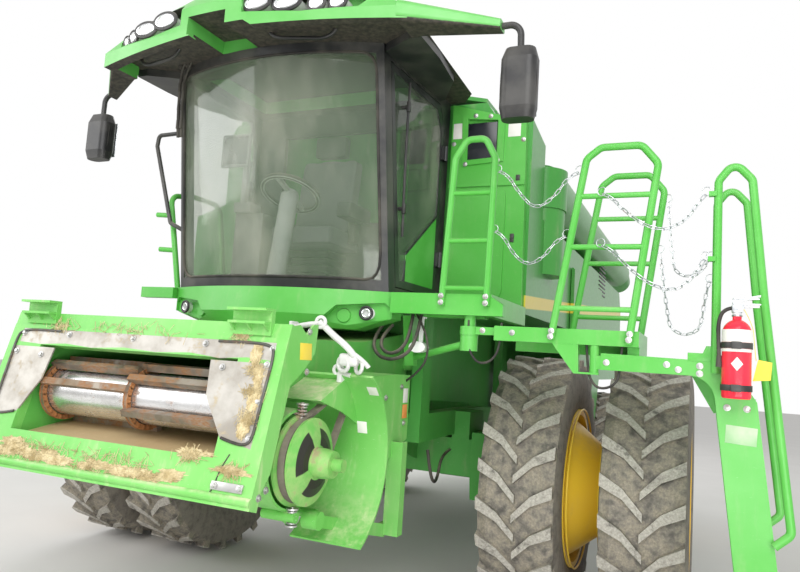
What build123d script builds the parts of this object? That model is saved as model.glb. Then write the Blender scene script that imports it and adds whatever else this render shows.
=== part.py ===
from build123d import *
import os
from math import sqrt, hypot, sin, cos, tan, atan, radians, degrees

os.makedirs("parts", exist_ok=True)

# Combine harvester on dual front wheels, millimetres
# While it is drawn, X = 0 is the centre line, Y = 0 the front axle and Z = 0 the ground.
# The front looks along -Y, and the machine's left side is +X.

# Driving dimensions: wheels and axles
wheelbase = 3550
front_tyre_radius = 937
front_tyre_width = 524
front_rim_radius = 540
inner_track = 1524
dual_spacing = 762
rear_tyre_radius = 770
rear_tyre_width = 600
rear_rim_radius = 372
rear_track = 1480
king_pin_x = 1130
frame_rail = 120
pivot_post_in = 40

# Driving dimensions: body
hull_half = 735
body_half = 1470
tank_half = 1180
body_front = -610
tank_rear = 2450
body_rear = 5150
shoe_bottom = 760
body_low = 2150
shoulder_z = 2950
tank_top = 3700
deck_z = 3300
panel_thick = 30
auger_radius = 190
auger_x = tank_half + auger_radius + 25
auger_pivot_y = 60
auger_z = 3216
auger_length = 5000
auger_turn_z = 3020

# Driving dimensions: cab
cab_floor_z = 2210
cab_top_z = 3700
cab_front_low = -1465
cab_front_top = -1700
cab_rear = -650
cab_half = 835
cab_bulge = 170
cab_wall = 42
glass_thick = 7
roof_top_z = 3970
roof_half = 1110
roof_front = -2080
roof_rear = -645
roof_bow = 130
mirror_tip_x = 1600

# Driving dimensions: feeder house
feeder_half = 898
throat_half = 650
face_top_z = 1915
face_top_y = -2635
face_low_z = 1120
face_low_y = -2850
feeder_pivot_y = -820
feeder_pivot_z = 1760
drum_radius = 130
drum_half = 640
cylinder_base_y = -420
cylinder_base_z = 1160
rod_eye_y = -1900
rod_eye_z = 1205
cylinder_x = 470
barrel_share = 0.62
rod_radius = 29
rod_inside = 380

# Driving dimensions: landing, swing platform and ladder
gap = 0.3
rail_tube = 20
landing_z = 2190
landing_front = -1500
landing_rear = -675
landing_in = hull_half + frame_rail + gap
landing_out = 1490
right_out = 1150
beam_height = 125
pivot_post_x = 1350
pivot_post_y = -1440
swing_front = landing_front - 20
platform_z = 2010
platform_in = 1522
platform_out = 2300
platform_depth = 560
ladder_pivot_x = 2075
ladder_z = 1878
ladder_in = 2110
ladder_width = 470
stringer_top_x = 2664
stringer_low_x = 2814
stringer_low_z = 420
step_count = 5
step_rise = 300
handrail_out = stringer_top_x + 332
rail_front = landing_front - rail_tube - gap
rail_back = swing_front + platform_depth + rail_tube + gap

# The finished machine stands with the middle of its footprint on the origin.
tail_y = 6000
footprint_left = handrail_out + rail_tube
footprint_right = inner_track + dual_spacing + front_tyre_width / 2
footprint_front = face_low_y - 8
shift_x = -(footprint_left - footprint_right) / 2
shift_y = -(footprint_front + tail_y) / 2
to_origin = Location((shift_x, shift_y, 0))


def save(piece, name):
    piece.part.label = name
    export_step(piece.part.moved(to_origin), f"parts/{name}.step")


def block(low, high, mode=Mode.ADD):
    # a box between two opposite corners
    size = [b - a for a, b in zip(low, high)]
    with Locations(tuple((a + b) / 2 for a, b in zip(low, high))):
        Box(*size, mode=mode)


def slab(points, plane, amount, both=False, mode=Mode.ADD):
    # a flat outline pushed out of its plane
    with BuildSketch(plane) as outline:
        Polygon(*points, align=None)
    extrude(outline.sketch, amount=amount, both=both, mode=mode)


def rod(start, end, radius, mode=Mode.ADD):
    # a straight round bar between two points
    axis = Vector(*end) - Vector(*start)
    with BuildSketch(Plane(origin=start, z_dir=axis)) as ring:
        Circle(radius)
    extrude(ring.sketch, amount=axis.length, mode=mode)


def bent_tube(points, radius, bend):
    # a tube along straight runs with rounded corners
    with BuildLine() as path:
        FilletPolyline(*points, radius=bend)
    with BuildSketch(Plane(origin=path.line @ 0, z_dir=path.line % 0)) as ring:
        Circle(radius)
    sweep(ring.sketch, path=path.line)


def turned(points, center, mode=Mode.ADD):
    # points are (x, radius), turned about a line along X through the center
    with BuildSketch(Plane.XZ) as profile:
        Polygon(*points, align=None)
    ring = revolve(profile.sketch, axis=Axis.X, mode=Mode.PRIVATE)
    add(ring.moved(Location(center)), mode=mode)


# Wheels

lug_height = 36
lug_count = 24
lug_width = 62
lug_sweep = 205


def tyre(radius, width, bore, count, sweep_length):
    # drawn about Z: a carcass with two rows of bars that meet in a V along the middle
    half = width / 2
    tread = half * 0.93
    base = radius - lug_height
    reach = (sweep_length + lug_width * 0.8) / 2
    top = sqrt(radius ** 2 - reach ** 2)
    elbow = sweep_length * 0.62
    outline = [(-8, 0), (tread * 0.45, elbow), (tread, sweep_length),
               (tread, sweep_length - lug_width * 1.25),
               (tread * 0.45, elbow - lug_width), (-8, -lug_width * 0.8)]
    bars = []
    for side in (1, -1):
        with BuildPart() as bar:
            with BuildSketch(Plane(origin=(top, 0, 0), x_dir=(0, 0, 1), z_dir=(1, 0, 0))) as foot:
                Polygon(*[(side * a, b + reach - sweep_length) for a, b in outline], align=None)
            extrude(foot.sketch, amount=-(lug_height + 24))
        bars.append(bar.part)
    with BuildPart() as ring:
        with BuildSketch(Plane.XZ) as section:
            with BuildLine():
                Polyline((bore + 40, half * 0.93), (bore, half * 0.86), (bore, -half * 0.86),
                         (bore + 40, -half * 0.93))
                ThreePointArc((bore + 40, -half * 0.93), ((bore + base) / 2, -half), (base - 28, -tread))
                Polyline((base - 28, -tread), (base, -tread * 0.75), (base, tread * 0.75),
                         (base - 28, tread))
                ThreePointArc((base - 28, tread), ((bore + base) / 2, half), (bore + 40, half * 0.93))
            make_face()
        revolve(section.sketch, axis=Axis.Z)
        for bar, start in zip(bars, (0, 180 / count)):
            with PolarLocations(0, count, start_angle=start):
                add(bar)
    return ring.part


def make_tyres():
    front = tyre(front_tyre_radius, front_tyre_width, front_rim_radius + gap, lug_count, lug_sweep)
    rear = tyre(rear_tyre_radius, rear_tyre_width, rear_rim_radius + gap, lug_count - 2, lug_sweep)
    places = [(front, "front", "inner", inner_track, 0, front_tyre_radius),
              (front, "front", "outer", inner_track + dual_spacing, 0, front_tyre_radius),
              (rear, "rear", "steered", rear_track, wheelbase, rear_tyre_radius)]
    for shape, axle, row, x, y, z in places:
        for side, word in ((1, "left"), (-1, "right")):
            with BuildPart() as placed:
                add(shape.moved(Location((side * x, y, z), (0, 90, 0))))
            save(placed, f"tyre_{axle}_{word}_{row}")


hub_face_x = 1990
hub_drum_radius = 235
hub_stub_in = 1300


def rim_rings(middle, half, radius):
    # barrel and two flanges
    turned([(middle - half - 24, radius - 16), (middle + half + 24, radius - 16),
            (middle + half + 24, radius),
            (middle - half - 24, radius)], (0, 0, 0))
    for end in (-1, 1):
        inside = middle + end * (half + 12)
        outside = middle + end * (half + 24)
        turned([(inside, radius - 8), (outside, radius - 8), (outside, radius + 22), (inside, radius + 22)],
               (0, 0, 0))


def front_wheel():
    outer_x = inner_track + dual_spacing
    half = front_tyre_width * 0.43
    with BuildPart() as wheel:
        rim_rings(inner_track, half, front_rim_radius)
        rim_rings(outer_x, half, front_rim_radius)
        turned([(inner_track + 120, front_rim_radius - 10), (hub_face_x, hub_drum_radius + 20),
                (hub_face_x, 0), (hub_face_x + 22, 0), (hub_face_x + 22, hub_drum_radius + 30),
                (inner_track + 150, front_rim_radius - 10)], (0, 0, 0))
        turned([(hub_stub_in, 0), (hub_face_x + 80, 0), (hub_face_x + 80, 130), (hub_stub_in, 130)],
               (0, 0, 0))
        turned([(hub_face_x + 20, 0), (hub_face_x + 62, 0), (hub_face_x + 62, hub_drum_radius),
                (hub_face_x + 20, hub_drum_radius)], (0, 0, 0))
        turned([(hub_face_x + 60, 0), (hub_face_x + 84, 0), (hub_face_x + 84, 300),
                (outer_x - 60, front_rim_radius - 10), (outer_x - 92, front_rim_radius - 10),
                (hub_face_x + 60, 310)], (0, 0, 0))
        with Locations(Plane(origin=(hub_face_x + 84, 0, 0), z_dir=(1, 0, 0))):
            with PolarLocations(190, 10):
                Cylinder(17, 34)
    return wheel.part


def rear_wheel():
    half = rear_tyre_width * 0.43
    with BuildPart() as wheel:
        rim_rings(rear_track, half, rear_rim_radius)
        turned([(rear_track - 60, rear_rim_radius - 10), (rear_track + 40, 210), (rear_track + 40, 0),
                (rear_track + 62, 0), (rear_track + 62, 215), (rear_track - 35, rear_rim_radius - 10)],
               (0, 0, 0))
        turned([(king_pin_x + 130, 0), (rear_track + 100, 0), (rear_track + 100, 80),
                (king_pin_x + 130, 110)], (0, 0, 0))
        with Locations(Plane(origin=(rear_track + 62, 0, 0), z_dir=(1, 0, 0))):
            with PolarLocations(140, 8):
                Cylinder(15, 30)
    return wheel.part


def make_wheels():
    for shape, word, y, z in ((front_wheel(), "front", 0, front_tyre_radius),
                              (rear_wheel(), "rear", wheelbase, rear_tyre_radius)):
        with BuildPart() as left:
            add(shape.moved(Location((0, y, z))))
        save(left, f"wheel_{word}_left")
        with BuildPart() as right:
            add(shape.moved(Location((0, y, z), (0, 0, 180))))
        save(right, f"wheel_{word}_right")


# Axles and frame

def make_axles():
    axle_z = front_tyre_radius
    with BuildPart() as front:
        block((-1080, -150, axle_z - 10), (1080, 150, axle_z + 270))
        for side in (1, -1):
            with BuildSketch(Plane.YZ.offset(side * 1010)) as casting:
                with BuildLine():
                    Polyline((-210, axle_z + 330), (210, axle_z + 330), (230, axle_z + 60),
                             (190, axle_z - 170),
                             (-190, axle_z - 170), (-230, axle_z + 60), close=True)
                make_face()
            extrude(casting.sketch, amount=side * 190)
            rod((side * 1190, 0, axle_z), (side * (hub_stub_in - gap), 0, axle_z), 150)
            rod((side * 700, 40, axle_z + 110), (side * 1015, 40, axle_z + 110), 155)
            for edge in (-1, 1):
                x = side * cylinder_x + edge * 68
                slab([(-140, 1200), (-140, 1010), (cylinder_base_y - 60, cylinder_base_z - 50),
                      (cylinder_base_y - 60, cylinder_base_z + 60)], Plane.YZ.offset(x - 8), 16)
    save(front, "front_axle")
    axle_z = rear_tyre_radius
    beam_end = king_pin_x - 130
    with BuildPart() as rear:
        with BuildSketch(Plane.XZ.offset(-wheelbase)) as beam:
            Polygon((-beam_end, axle_z + 118), (beam_end, axle_z + 118), (beam_end, axle_z - 118),
                    (300, axle_z - 105), (-300, axle_z - 105), (-beam_end, axle_z - 118), align=None)
        extrude(beam.sketch, amount=95, both=True)
        block((-150, wheelbase - 160, axle_z + 100), (150, wheelbase + 160, 1065 - gap))
        for side in (1, -1):
            for low, high in ((axle_z - 118, axle_z - 82), (axle_z + 82, axle_z + 118)):
                block((min(side * (beam_end - 10), side * 1185), wheelbase - 78, low),
                      (max(side * (beam_end - 10), side * 1185), wheelbase + 78, high))
            rod((side * king_pin_x, wheelbase, axle_z - 160), (side * king_pin_x, wheelbase, axle_z + 160),
                36 + gap, mode=Mode.SUBTRACT)
    save(rear, "rear_axle")
    for side, word in ((1, "left"), (-1, "right")):
        with BuildPart() as knuckle:
            rod((side * king_pin_x, wheelbase, axle_z - 150), (side * king_pin_x, wheelbase, axle_z + 150),
                36)
            block((min(side * 1075, side * 1190), wheelbase - 74, axle_z - 76),
                  (max(side * 1075, side * 1190), wheelbase + 74, axle_z + 76))
            rod((side * 1180, wheelbase, axle_z), (side * (king_pin_x + 130 - gap), wheelbase, axle_z), 76)
            arm = [(side * 1110, wheelbase + 50), (side * 1186, wheelbase + 50),
                   (side * 1150, wheelbase + 330),
                   (side * 1085, wheelbase + 330)]
            slab(arm, Plane.XY.offset(axle_z - 20), 40)
        save(knuckle, f"steering_knuckle_{word}")


def make_frame():
    rail_in = hull_half
    rail_out = hull_half + frame_rail
    with BuildPart() as frame:
        rail = [(-900, 1230), (-900, 1420), (600, 1420), (2500, 1260), (2870, 1240), (2870, 1070),
                (2800, 1070),
                (2600, 1110), (700, 1250)]
        rear_rail = [(2870, 1080), (2870, 1180), (2960, 1240), (4960, 1240), (4960, 1080)]
        for side in (1, -1):
            slab(rail, Plane.YZ.offset(side * rail_in), side * frame_rail)
            slab(rear_rail, Plane.YZ.offset(side * (rail_in - 135)), side * frame_rail)
            low = min(side * (rail_in + pivot_post_in), side * rail_out)
            high = max(side * (rail_in + pivot_post_in), side * rail_out)
            block((low, -900, 1400), (high, -740, cab_floor_z - 60 - gap))
            block((low, cab_front_low + 156, 2062), (high, -740, cab_floor_z - 60 - gap))
            block((low, 1100, 1300), (high, 1250, body_low - gap))
            block((low, 2730, 1200), (high, 2850, body_low - 450 - gap))
            saddle = side * 905
            block((saddle - 70, -170, front_tyre_radius + 270), (saddle + 70, 170, 1415))
        block((-rail_out, -860, 1300), (rail_out, -740, 1400))
        block((-rail_out, cab_front_low + 156, 2080), (rail_out, cab_front_low + 230,
                                                       cab_floor_z - 60 - gap))
        block((-rail_in - 45, 2830, 1080), (rail_in + 45, 2900, 1165))
        for y in (wheelbase, 4800):
            block((-rail_in + 20, y - 90, 1065), (rail_in - 20, y + 90, 1235))
    save(frame, "main_frame")


def make_hull():
    # threshing and cleaning housing between the wheels
    with BuildPart() as hull:
        outline = [(-739, body_low - gap), (-739, 1560), (-640, 1500), (-100, 1480),
                   (520, 1440), (700, shoe_bottom + 60), (900, shoe_bottom), (2500, shoe_bottom + 40),
                   (2900, 1260), (4600, 1260), (4850, 1330), (4950, 1650), (4950, body_low - gap)]
        slab(outline, Plane.YZ, hull_half - gap, both=True)
        for y in (900, 1500, 2100):
            for side in (1, -1):
                x = side * (hull_half - 5)
                block((min(x, x + side * 25), y, shoe_bottom + 120), (max(x, x + side * 25), y + 60, 1050))
    save(hull, "threshing_housing")


def make_tank():
    rim = 40
    with BuildPart() as tank:
        with BuildSketch(Plane.XZ.offset(-body_front)) as section:
            Polygon((-body_half, body_low), (body_half, body_low), (body_half, shoulder_z - 40),
                    (tank_half, shoulder_z + 60), (tank_half, tank_top - 90), (tank_half - 60, tank_top),
                    (-tank_half + 60, tank_top), (-tank_half, tank_top - 90), (-tank_half, shoulder_z + 60),
                    (-body_half, shoulder_z - 40), align=None)
        extrude(section.sketch, amount=body_front - tank_rear)
        with BuildSketch(Plane.XY.offset(tank_top)) as mouth:
            with Locations((0, (body_front + tank_rear) / 2)):
                Rectangle(2 * tank_half - 4 * rim - 60, tank_rear - body_front - 4 * rim)
        extrude(mouth.sketch, amount=-900, taper=18, mode=Mode.SUBTRACT)
        shroud = [(body_front, shoulder_z - 60), (body_front, 3545), (auger_pivot_y - 245, 3480),
                  (auger_pivot_y - 245, shoulder_z - 60)]
        slab(shroud, Plane.YZ.offset(tank_half - 5), body_half - tank_half + 5)
        rod((auger_x, auger_pivot_y, 2500), (auger_x, auger_pivot_y, auger_turn_z - gap), auger_radius)
    save(tank, "grain_tank")


cover_thick = 30
cover_hinge_x = tank_half - 70
cover_hinge_z = tank_top + 14 + gap


def make_covers():
    # two halves of the tank roof, hinged on the side rims
    length = tank_rear - body_front - 60
    for side, word in ((1, "left"), (-1, "right")):
        hinge_x = side * cover_hinge_x
        profile = [(hinge_x, tank_top + 12), (side * 500, tank_top + 150), (side * 8, tank_top + 165),
                   (side * 8, tank_top + 165 + cover_thick), (side * 510, tank_top + 150 + cover_thick),
                   (hinge_x, tank_top + 12 + cover_thick)]
        with BuildPart() as cover:
            slab(profile, Plane.XZ.offset(-(body_front + 30)), -length)
            for y in (body_front + 300, (body_front + tank_rear) / 2, tank_rear - 300):
                rod((hinge_x, y - 60, cover_hinge_z), (hinge_x, y + 60, cover_hinge_z), 14)
        save(cover, f"tank_cover_{word}")


def make_rear_body():
    with BuildPart() as body:
        outline = [(tank_rear + gap, body_low - 450), (tank_rear + gap, deck_z), (4250, deck_z),
                   (4800, 3080),
                   (body_rear, 2640), (body_rear, 1780), (4500, 1690), (2960, 1690), (2960, body_low - 450)]
        slab(outline, Plane.YZ, body_half, both=True)
        block((-hull_half, tank_rear - 10, 1600), (hull_half, 4960, body_low + 1), mode=Mode.SUBTRACT)
        block((-700, tank_rear + 150, 2330), (900, 4100, deck_z + 10), mode=Mode.SUBTRACT)
        block((-body_half - 10, 2880, 2240), (150 - screen_x, 3920, 3240), mode=Mode.SUBTRACT)
        for side in (1, -1):
            slab([(side * (body_half + 5), shoulder_z - 40), (side * tank_half, shoulder_z + 60),
                  (side * tank_half, deck_z + 10), (side * (body_half + 5), deck_z + 10)],
                 Plane.XZ.offset(-tank_rear + 10), -2800, mode=Mode.SUBTRACT)
    save(body, "rear_body")
    with BuildPart() as engine:
        block((-560, tank_rear + 300, 2330 + gap), (560, 3950, 3080))
    save(engine, "engine_block")
    with BuildPart() as deck:
        block((-720, tank_rear + 120, deck_z + gap), (920, 4140, deck_z + 60))
        with BuildSketch(Plane.XY.offset(deck_z + 60)) as hood:
            with Locations((100, 3300)):
                Rectangle(1300, 1300)
        extrude(hood.sketch, amount=140, taper=14)
        rod((700, 2760, deck_z + 50), (700, 2760, deck_z + 430), 70)
        rod((700, 2760, deck_z + 430), (700, 2900, deck_z + 520), 62)
        rod((-350, 2780, deck_z + 50), (-350, 2780, deck_z + 330), 130)
    save(deck, "engine_hood")


screen_x = body_half - 320
screen_y = 3400
screen_z = 2750
screen_radius = 470


def make_screen():
    with BuildPart() as screen:
        with BuildSketch(Plane.YZ.offset(-screen_x)) as disc:
            with Locations((screen_y, screen_z)):
                Circle(screen_radius)
                with PolarLocations(screen_radius * 0.62, 12):
                    Rectangle(screen_radius * 0.52, 62, mode=Mode.SUBTRACT)
        extrude(disc.sketch, amount=-24)
        with BuildSketch(Plane.YZ.offset(-screen_x)) as wall:
            with Locations((screen_y, screen_z)):
                Circle(screen_radius)
                Circle(screen_radius - 14, mode=Mode.SUBTRACT)
        extrude(wall.sketch, amount=110)
        rod((-screen_x - 10, screen_y, screen_z), (150 - screen_x - gap, screen_y, screen_z), 40)
    save(screen, "radiator_screen")


def make_tail():
    with BuildPart() as hood:
        outline = [(body_rear + gap, 1330), (body_rear + gap, 2560), (5350, 2480), (5780, 1980),
                   (5840, 1700),
                   (5600, 1330)]
        slab(outline, Plane.YZ, 760, both=True)
        block((-700, body_rear - 60, 1300), (700, 5680, 1700), mode=Mode.SUBTRACT)
    save(hood, "tail_hood")
    with BuildPart() as chopper:
        outline = [(4975, 1330 - gap), (5560, 1330 - gap), (5760, 1120), (5720, 1060), (5350, 1000),
                   (4975, 1090)]
        slab(outline, Plane.YZ, 720, both=True)
        block((-700, 4950 + gap, 1320), (700, 5000, 1330 - gap))
    save(chopper, "straw_chopper")
    for side, word in ((1, "left"), (-1, "right")):
        x = side * 390
        with BuildPart() as disc:
            rod((x, 5640, 820), (x, 5640, 860), 360)
            rod((x, 5640, 770), (x, 5640, 1039.3), 46)
            with Locations((x, 5640, 795)):
                with PolarLocations(0, 6):
                    with Locations((210, 0, 0)):
                        Box(280, 14, 60)
        save(disc, f"spreader_disc_{word}")
    with BuildPart() as ladder:
        for x in (-1320, -900):
            bent_tube([(x, 5330, 700), (x, 5330, 2500), (x, body_rear + 2, 2760)], 17, 80)
        for step in range(6):
            block((-1320, 5290, 720 + 300 * step), (-900, 5370, 745 + 300 * step))
        for x in (-1320, -900):
            rod((x, body_rear + gap, 2000), (x, 5330, 2000), 14)
    save(ladder, "rear_ladder")


# Cab

def cab_outline(z, inset):
    # plan of the cab at one height, with a bowed front
    front = cab_front_low + (cab_front_top - cab_front_low) * (z - cab_floor_z) / (cab_top_z - cab_floor_z)
    half_front = cab_half - 15 - 30 * (z - cab_floor_z) / (cab_top_z - cab_floor_z)
    half_rear = cab_half + 15
    with BuildSketch(Plane.XY.offset(z)) as plan:
        with BuildLine():
            Polyline((-half_front + inset, front + inset), (-half_rear + inset, cab_rear - inset),
                     (half_rear - inset, cab_rear - inset), (half_front - inset, front + inset))
            ThreePointArc((half_front - inset, front + inset), (0, front - cab_bulge + inset),
                          (-half_front + inset, front + inset))
        make_face()
    return plan.sketch


def cab_skin(outer, inner, low=cab_floor_z, high=cab_top_z):
    # wall between two insets of the cab's outline
    loft([cab_outline(low, outer), cab_outline(high, outer)], ruled=True)
    loft([cab_outline(low, inner), cab_outline(high, inner)], ruled=True, mode=Mode.SUBTRACT)


shield_low = 2262
shield_high = 3640
post = 58
door_front = -1375
door_rear = -735
door_low = 2232
door_high = 3632
door_hinge_x = 865
door_hinge_y = -738


def windshield_frame(spare):
    # outline of the front opening, seen from the front
    low_half = cab_half - post
    return [(-low_half + spare, shield_low + spare), (low_half - spare, shield_low + spare),
            (low_half - 30 - spare, shield_high - spare), (-low_half + 30 + spare, shield_high - spare)]


def side_frame(spare):
    # outline of a door or side window, seen from the side
    lean = (cab_front_top - cab_front_low) / (cab_top_z - cab_floor_z)
    front_low = door_front + lean * (door_low - cab_floor_z)
    front_high = door_front + lean * (door_high - cab_floor_z)
    return [(front_low + spare, door_low + spare), (front_high + spare, door_high - spare),
            (door_rear - 90 - spare, door_high - spare), (door_rear - spare, door_high - 170 - spare),
            (door_rear - spare, door_low + spare)]


def door_glass_frame(spare):
    # outline of the door's glass, over a slanted lower panel
    front_low, front_high = side_frame(52 + spare)[0], side_frame(52 + spare)[1]
    return [front_low, front_high, (door_rear - 140 - spare, door_high - 52 - spare),
            (door_rear - 52 - spare, door_high - 200 - spare), (door_rear - 52 - spare, 2815 + spare),
            (-1235 - spare, 2480 + spare), (-1262 - spare, door_low + 52 + spare)]


def make_cab():
    with BuildPart() as shell:
        cab_skin(0, cab_wall)
        slab(windshield_frame(0), Plane.XZ.offset(1300), 900, mode=Mode.SUBTRACT)
        slab(side_frame(0), Plane.YZ.offset(600), 400, mode=Mode.SUBTRACT)
        slab(side_frame(0), Plane.YZ.offset(-600), -400, mode=Mode.SUBTRACT)
        slab([(-560, 2800), (560, 2800), (560, 3520), (-560, 3520)], Plane.XZ.offset(-cab_rear - 100), 300,
             mode=Mode.SUBTRACT)
        loft([cab_outline(cab_floor_z - 60, 0), cab_outline(cab_floor_z, 0)], ruled=True)
        # eaves that shade the doors
        for side in (1, -1):
            eave = [(800, -1690), (1000, -1805), (1085, -1805), (1085, -1500), (1050, -1150), (880, -850),
                    (800, -850)]
            slab([(side * x, y) for x, y in eave], Plane.XY.offset(3650), cab_top_z - 3650)
            # grab bar beside the front post
            if side == -1:
                bent_tube([(-806.2, -1500, 3330), (-1120, -1510, 3320), (-1130, -1510, 3240),
                           (-950, -1490, 2660), (-820.8, -1480, 2600)], 15, 30)
    save(shell, "cab_shell")
    with BuildPart() as glass:
        cab_skin(6, 6 + glass_thick)
        with BuildSketch(Plane.XZ.offset(1300)) as area:
            Polygon(*windshield_frame(gap), align=None)
        extrude(area.sketch, amount=900, mode=Mode.INTERSECT)
    with BuildPart() as side_glass:
        cab_skin(6, 6 + glass_thick)
        with BuildSketch(Plane.YZ.offset(-600)) as area:
            Polygon(*side_frame(gap), align=None)
        extrude(area.sketch, amount=-400, mode=Mode.INTERSECT)
    with BuildPart() as windows:
        add(glass.part)
        add(side_glass.part)
    save(windows, "cab_windows")
    with BuildPart() as door:
        cab_skin(0, cab_wall)
        with BuildSketch(Plane.YZ.offset(600)) as area:
            Polygon(*side_frame(6), align=None)
            Polygon(*door_glass_frame(0), align=None, mode=Mode.SUBTRACT)
        extrude(area.sketch, amount=400, mode=Mode.INTERSECT)
        for z in (door_low + 220, door_high - 400):
            rod((door_hinge_x, door_hinge_y, z), (door_hinge_x, door_hinge_y, z + 110), 18.4)
            block((door_hinge_x - 38, door_hinge_y - 36, z + 5), (door_hinge_x, door_hinge_y - 6, z + 105))
    save(door, "cab_door")
    with BuildPart() as door_glass:
        cab_skin(6, 6 + glass_thick)
        with BuildSketch(Plane.YZ.offset(600)) as area:
            Polygon(*door_glass_frame(gap), align=None)
        extrude(area.sketch, amount=400, mode=Mode.INTERSECT)
    save(door_glass, "cab_door_glass")


visor_low = 3606
visor_lip = 62
visor_back = -1850
lamp_seat_y = -2040


def roof_outline(z, half, front, rear):
    # plan of the roof at one height, with a bowed front
    with BuildSketch(Plane.XY.offset(z)) as plan:
        with BuildLine():
            Polyline((-half, front), (-half + 50, rear - 150), (-half + 150, rear), (half - 150, rear),
                     (half - 50, rear - 150), (half, front))
            ThreePointArc((half, front), (0, front - roof_bow), (-half, front))
        make_face()
    return plan.sketch


def visor_lip_part():
    # lip that hangs in front of the cab's top, with a notch over the wiper drive
    with BuildSketch(Plane.XZ.offset(1500)) as front_view:
        Polygon((-roof_half - 9, visor_low), (-290, visor_low + 56), (-310, visor_low + 178),
                (-20, visor_low + 178), (168, visor_low + 58), (roof_half + 9, visor_low + 20),
                (roof_half + 9, cab_top_z + 10), (-roof_half - 9, cab_top_z + 10), align=None)
    with BuildPart() as lip:
        extrude(roof_outline(visor_low, roof_half, roof_front, roof_rear), amount=cab_top_z + 2 - visor_low)
        extrude(roof_outline(visor_low - 1, roof_half - visor_lip, roof_front + visor_lip, roof_rear + 60),
                amount=cab_top_z + 9 - visor_low, mode=Mode.SUBTRACT)
        block((-roof_half - 1, visor_back, visor_low - 1), (roof_half + 1, roof_rear + 61, cab_top_z + 3),
              mode=Mode.SUBTRACT)
        extrude(front_view.sketch, amount=800, mode=Mode.INTERSECT)
    return lip.part


# x, height, half width and half height of the oval lamps under the roof's edge
roof_lamps = [(181, 3806, 84, 44), (383, 3784, 84, 44), (573, 3760, 50, 42), (700, 3758, 50, 42),
              (-714, 3790, 78, 44), (-535, 3812, 78, 48), (-835, 3764, 30, 40), (-900, 3748, 24, 32)]


def lamp_oval(x, z, half_width, half_height, off_seat, length, mode=Mode.ADD):
    # an oval pushed forward from the lamps' seat
    with BuildSketch(Plane.XZ.offset(-lamp_seat_y + off_seat)) as oval:
        with Locations((x, z)):
            Ellipse(half_width, half_height)
    extrude(oval.sketch, amount=length, mode=mode)


def make_roof():
    lip = visor_lip_part()
    with BuildPart() as roof:
        # height, half width, front edge, rear edge
        sections = [(cab_top_z + gap, roof_half, roof_front, roof_rear),
                    (cab_top_z + 150, roof_half - 300, roof_front, roof_rear - 10),
                    (roof_top_z - 30, roof_half - 560, roof_front + 40, roof_rear - 60),
                    (roof_top_z, roof_half - 700, roof_front + 200, roof_rear - 160)]
        loft([roof_outline(*row) for row in sections], ruled=True)
        add(lip)
        block((-310, roof_front - roof_bow, cab_top_z - 30), (-20, visor_back, visor_low + 178),
              mode=Mode.SUBTRACT)
        block((-700, -1500, cab_top_z), (700, -800, cab_top_z + 100), mode=Mode.SUBTRACT)
        for pocket in ([(89, 3860), (96, 3750), (491, 3708), (836, 3708), (872, 3745), (790, 3815)],
                       [(-372, 3742), (-635, 3710), (-935, 3710), (-950, 3745), (-780, 3835), (-540, 3885),
                        (-383, 3885)]):
            slab(pocket, Plane.XZ.offset(-lamp_seat_y), 300, mode=Mode.SUBTRACT)
        for x, z, half_width, half_height in roof_lamps:
            lamp_oval(x, z, half_width + gap, half_height + gap, 0, 300, Mode.SUBTRACT)
        # wings that carry the mirrors: root x, root y, tip x, tip y
        for root_x, root_y, tip_x, tip_y in ((roof_half - 60, -1975, mirror_tip_x, -1920),
                                             (60 - roof_half, -1960, 200 - mirror_tip_x, -1720)):
            wing = []
            for x, y, depth, low, high in ((root_x, root_y, 250, 3622, 3745),
                                           (tip_x, tip_y, 90, 3556, 3612)):
                with BuildSketch(Plane.YZ.offset(x)) as section:
                    with Locations((y, (low + high) / 2)):
                        RectangleRounded(depth, high - low, (high - low) * 0.3)
                wing.append(section.sketch)
            loft(wing, ruled=True)
    save(roof, "cab_roof")


def make_lamps():
    with BuildPart() as lamps:
        for x, z, half_width, half_height in roof_lamps:
            front = roof_front - roof_bow * (1 - (x / roof_half) ** 2) + 22
            lamp_oval(x, z, half_width, half_height, gap, lamp_seat_y - front - gap)
        for side in (-1, 1):
            fascia_lamp(side)
        # work lamp under the landing
        y = landing_front + 200
        with BuildSketch(Plane.XZ.offset(-y)) as oval:
            with Locations((993, 1868)):
                Ellipse(54, 34)
        extrude(oval.sketch, amount=70)
        block((981, y - 16, 1880), (1005, y, landing_z - 130 - gap))
        block((981, y - 16, landing_z - 140), (1005, y + 40, landing_z - 130 - gap))
        for x in (-1180, 1180):
            with BuildSketch(Plane.XZ.offset(-body_rear - gap)) as rear_lamp:
                with Locations((x, 2300)):
                    RectangleRounded(170, 90, 20)
            extrude(rear_lamp.sketch, amount=-45)
    save(lamps, "work_lamps")


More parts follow.
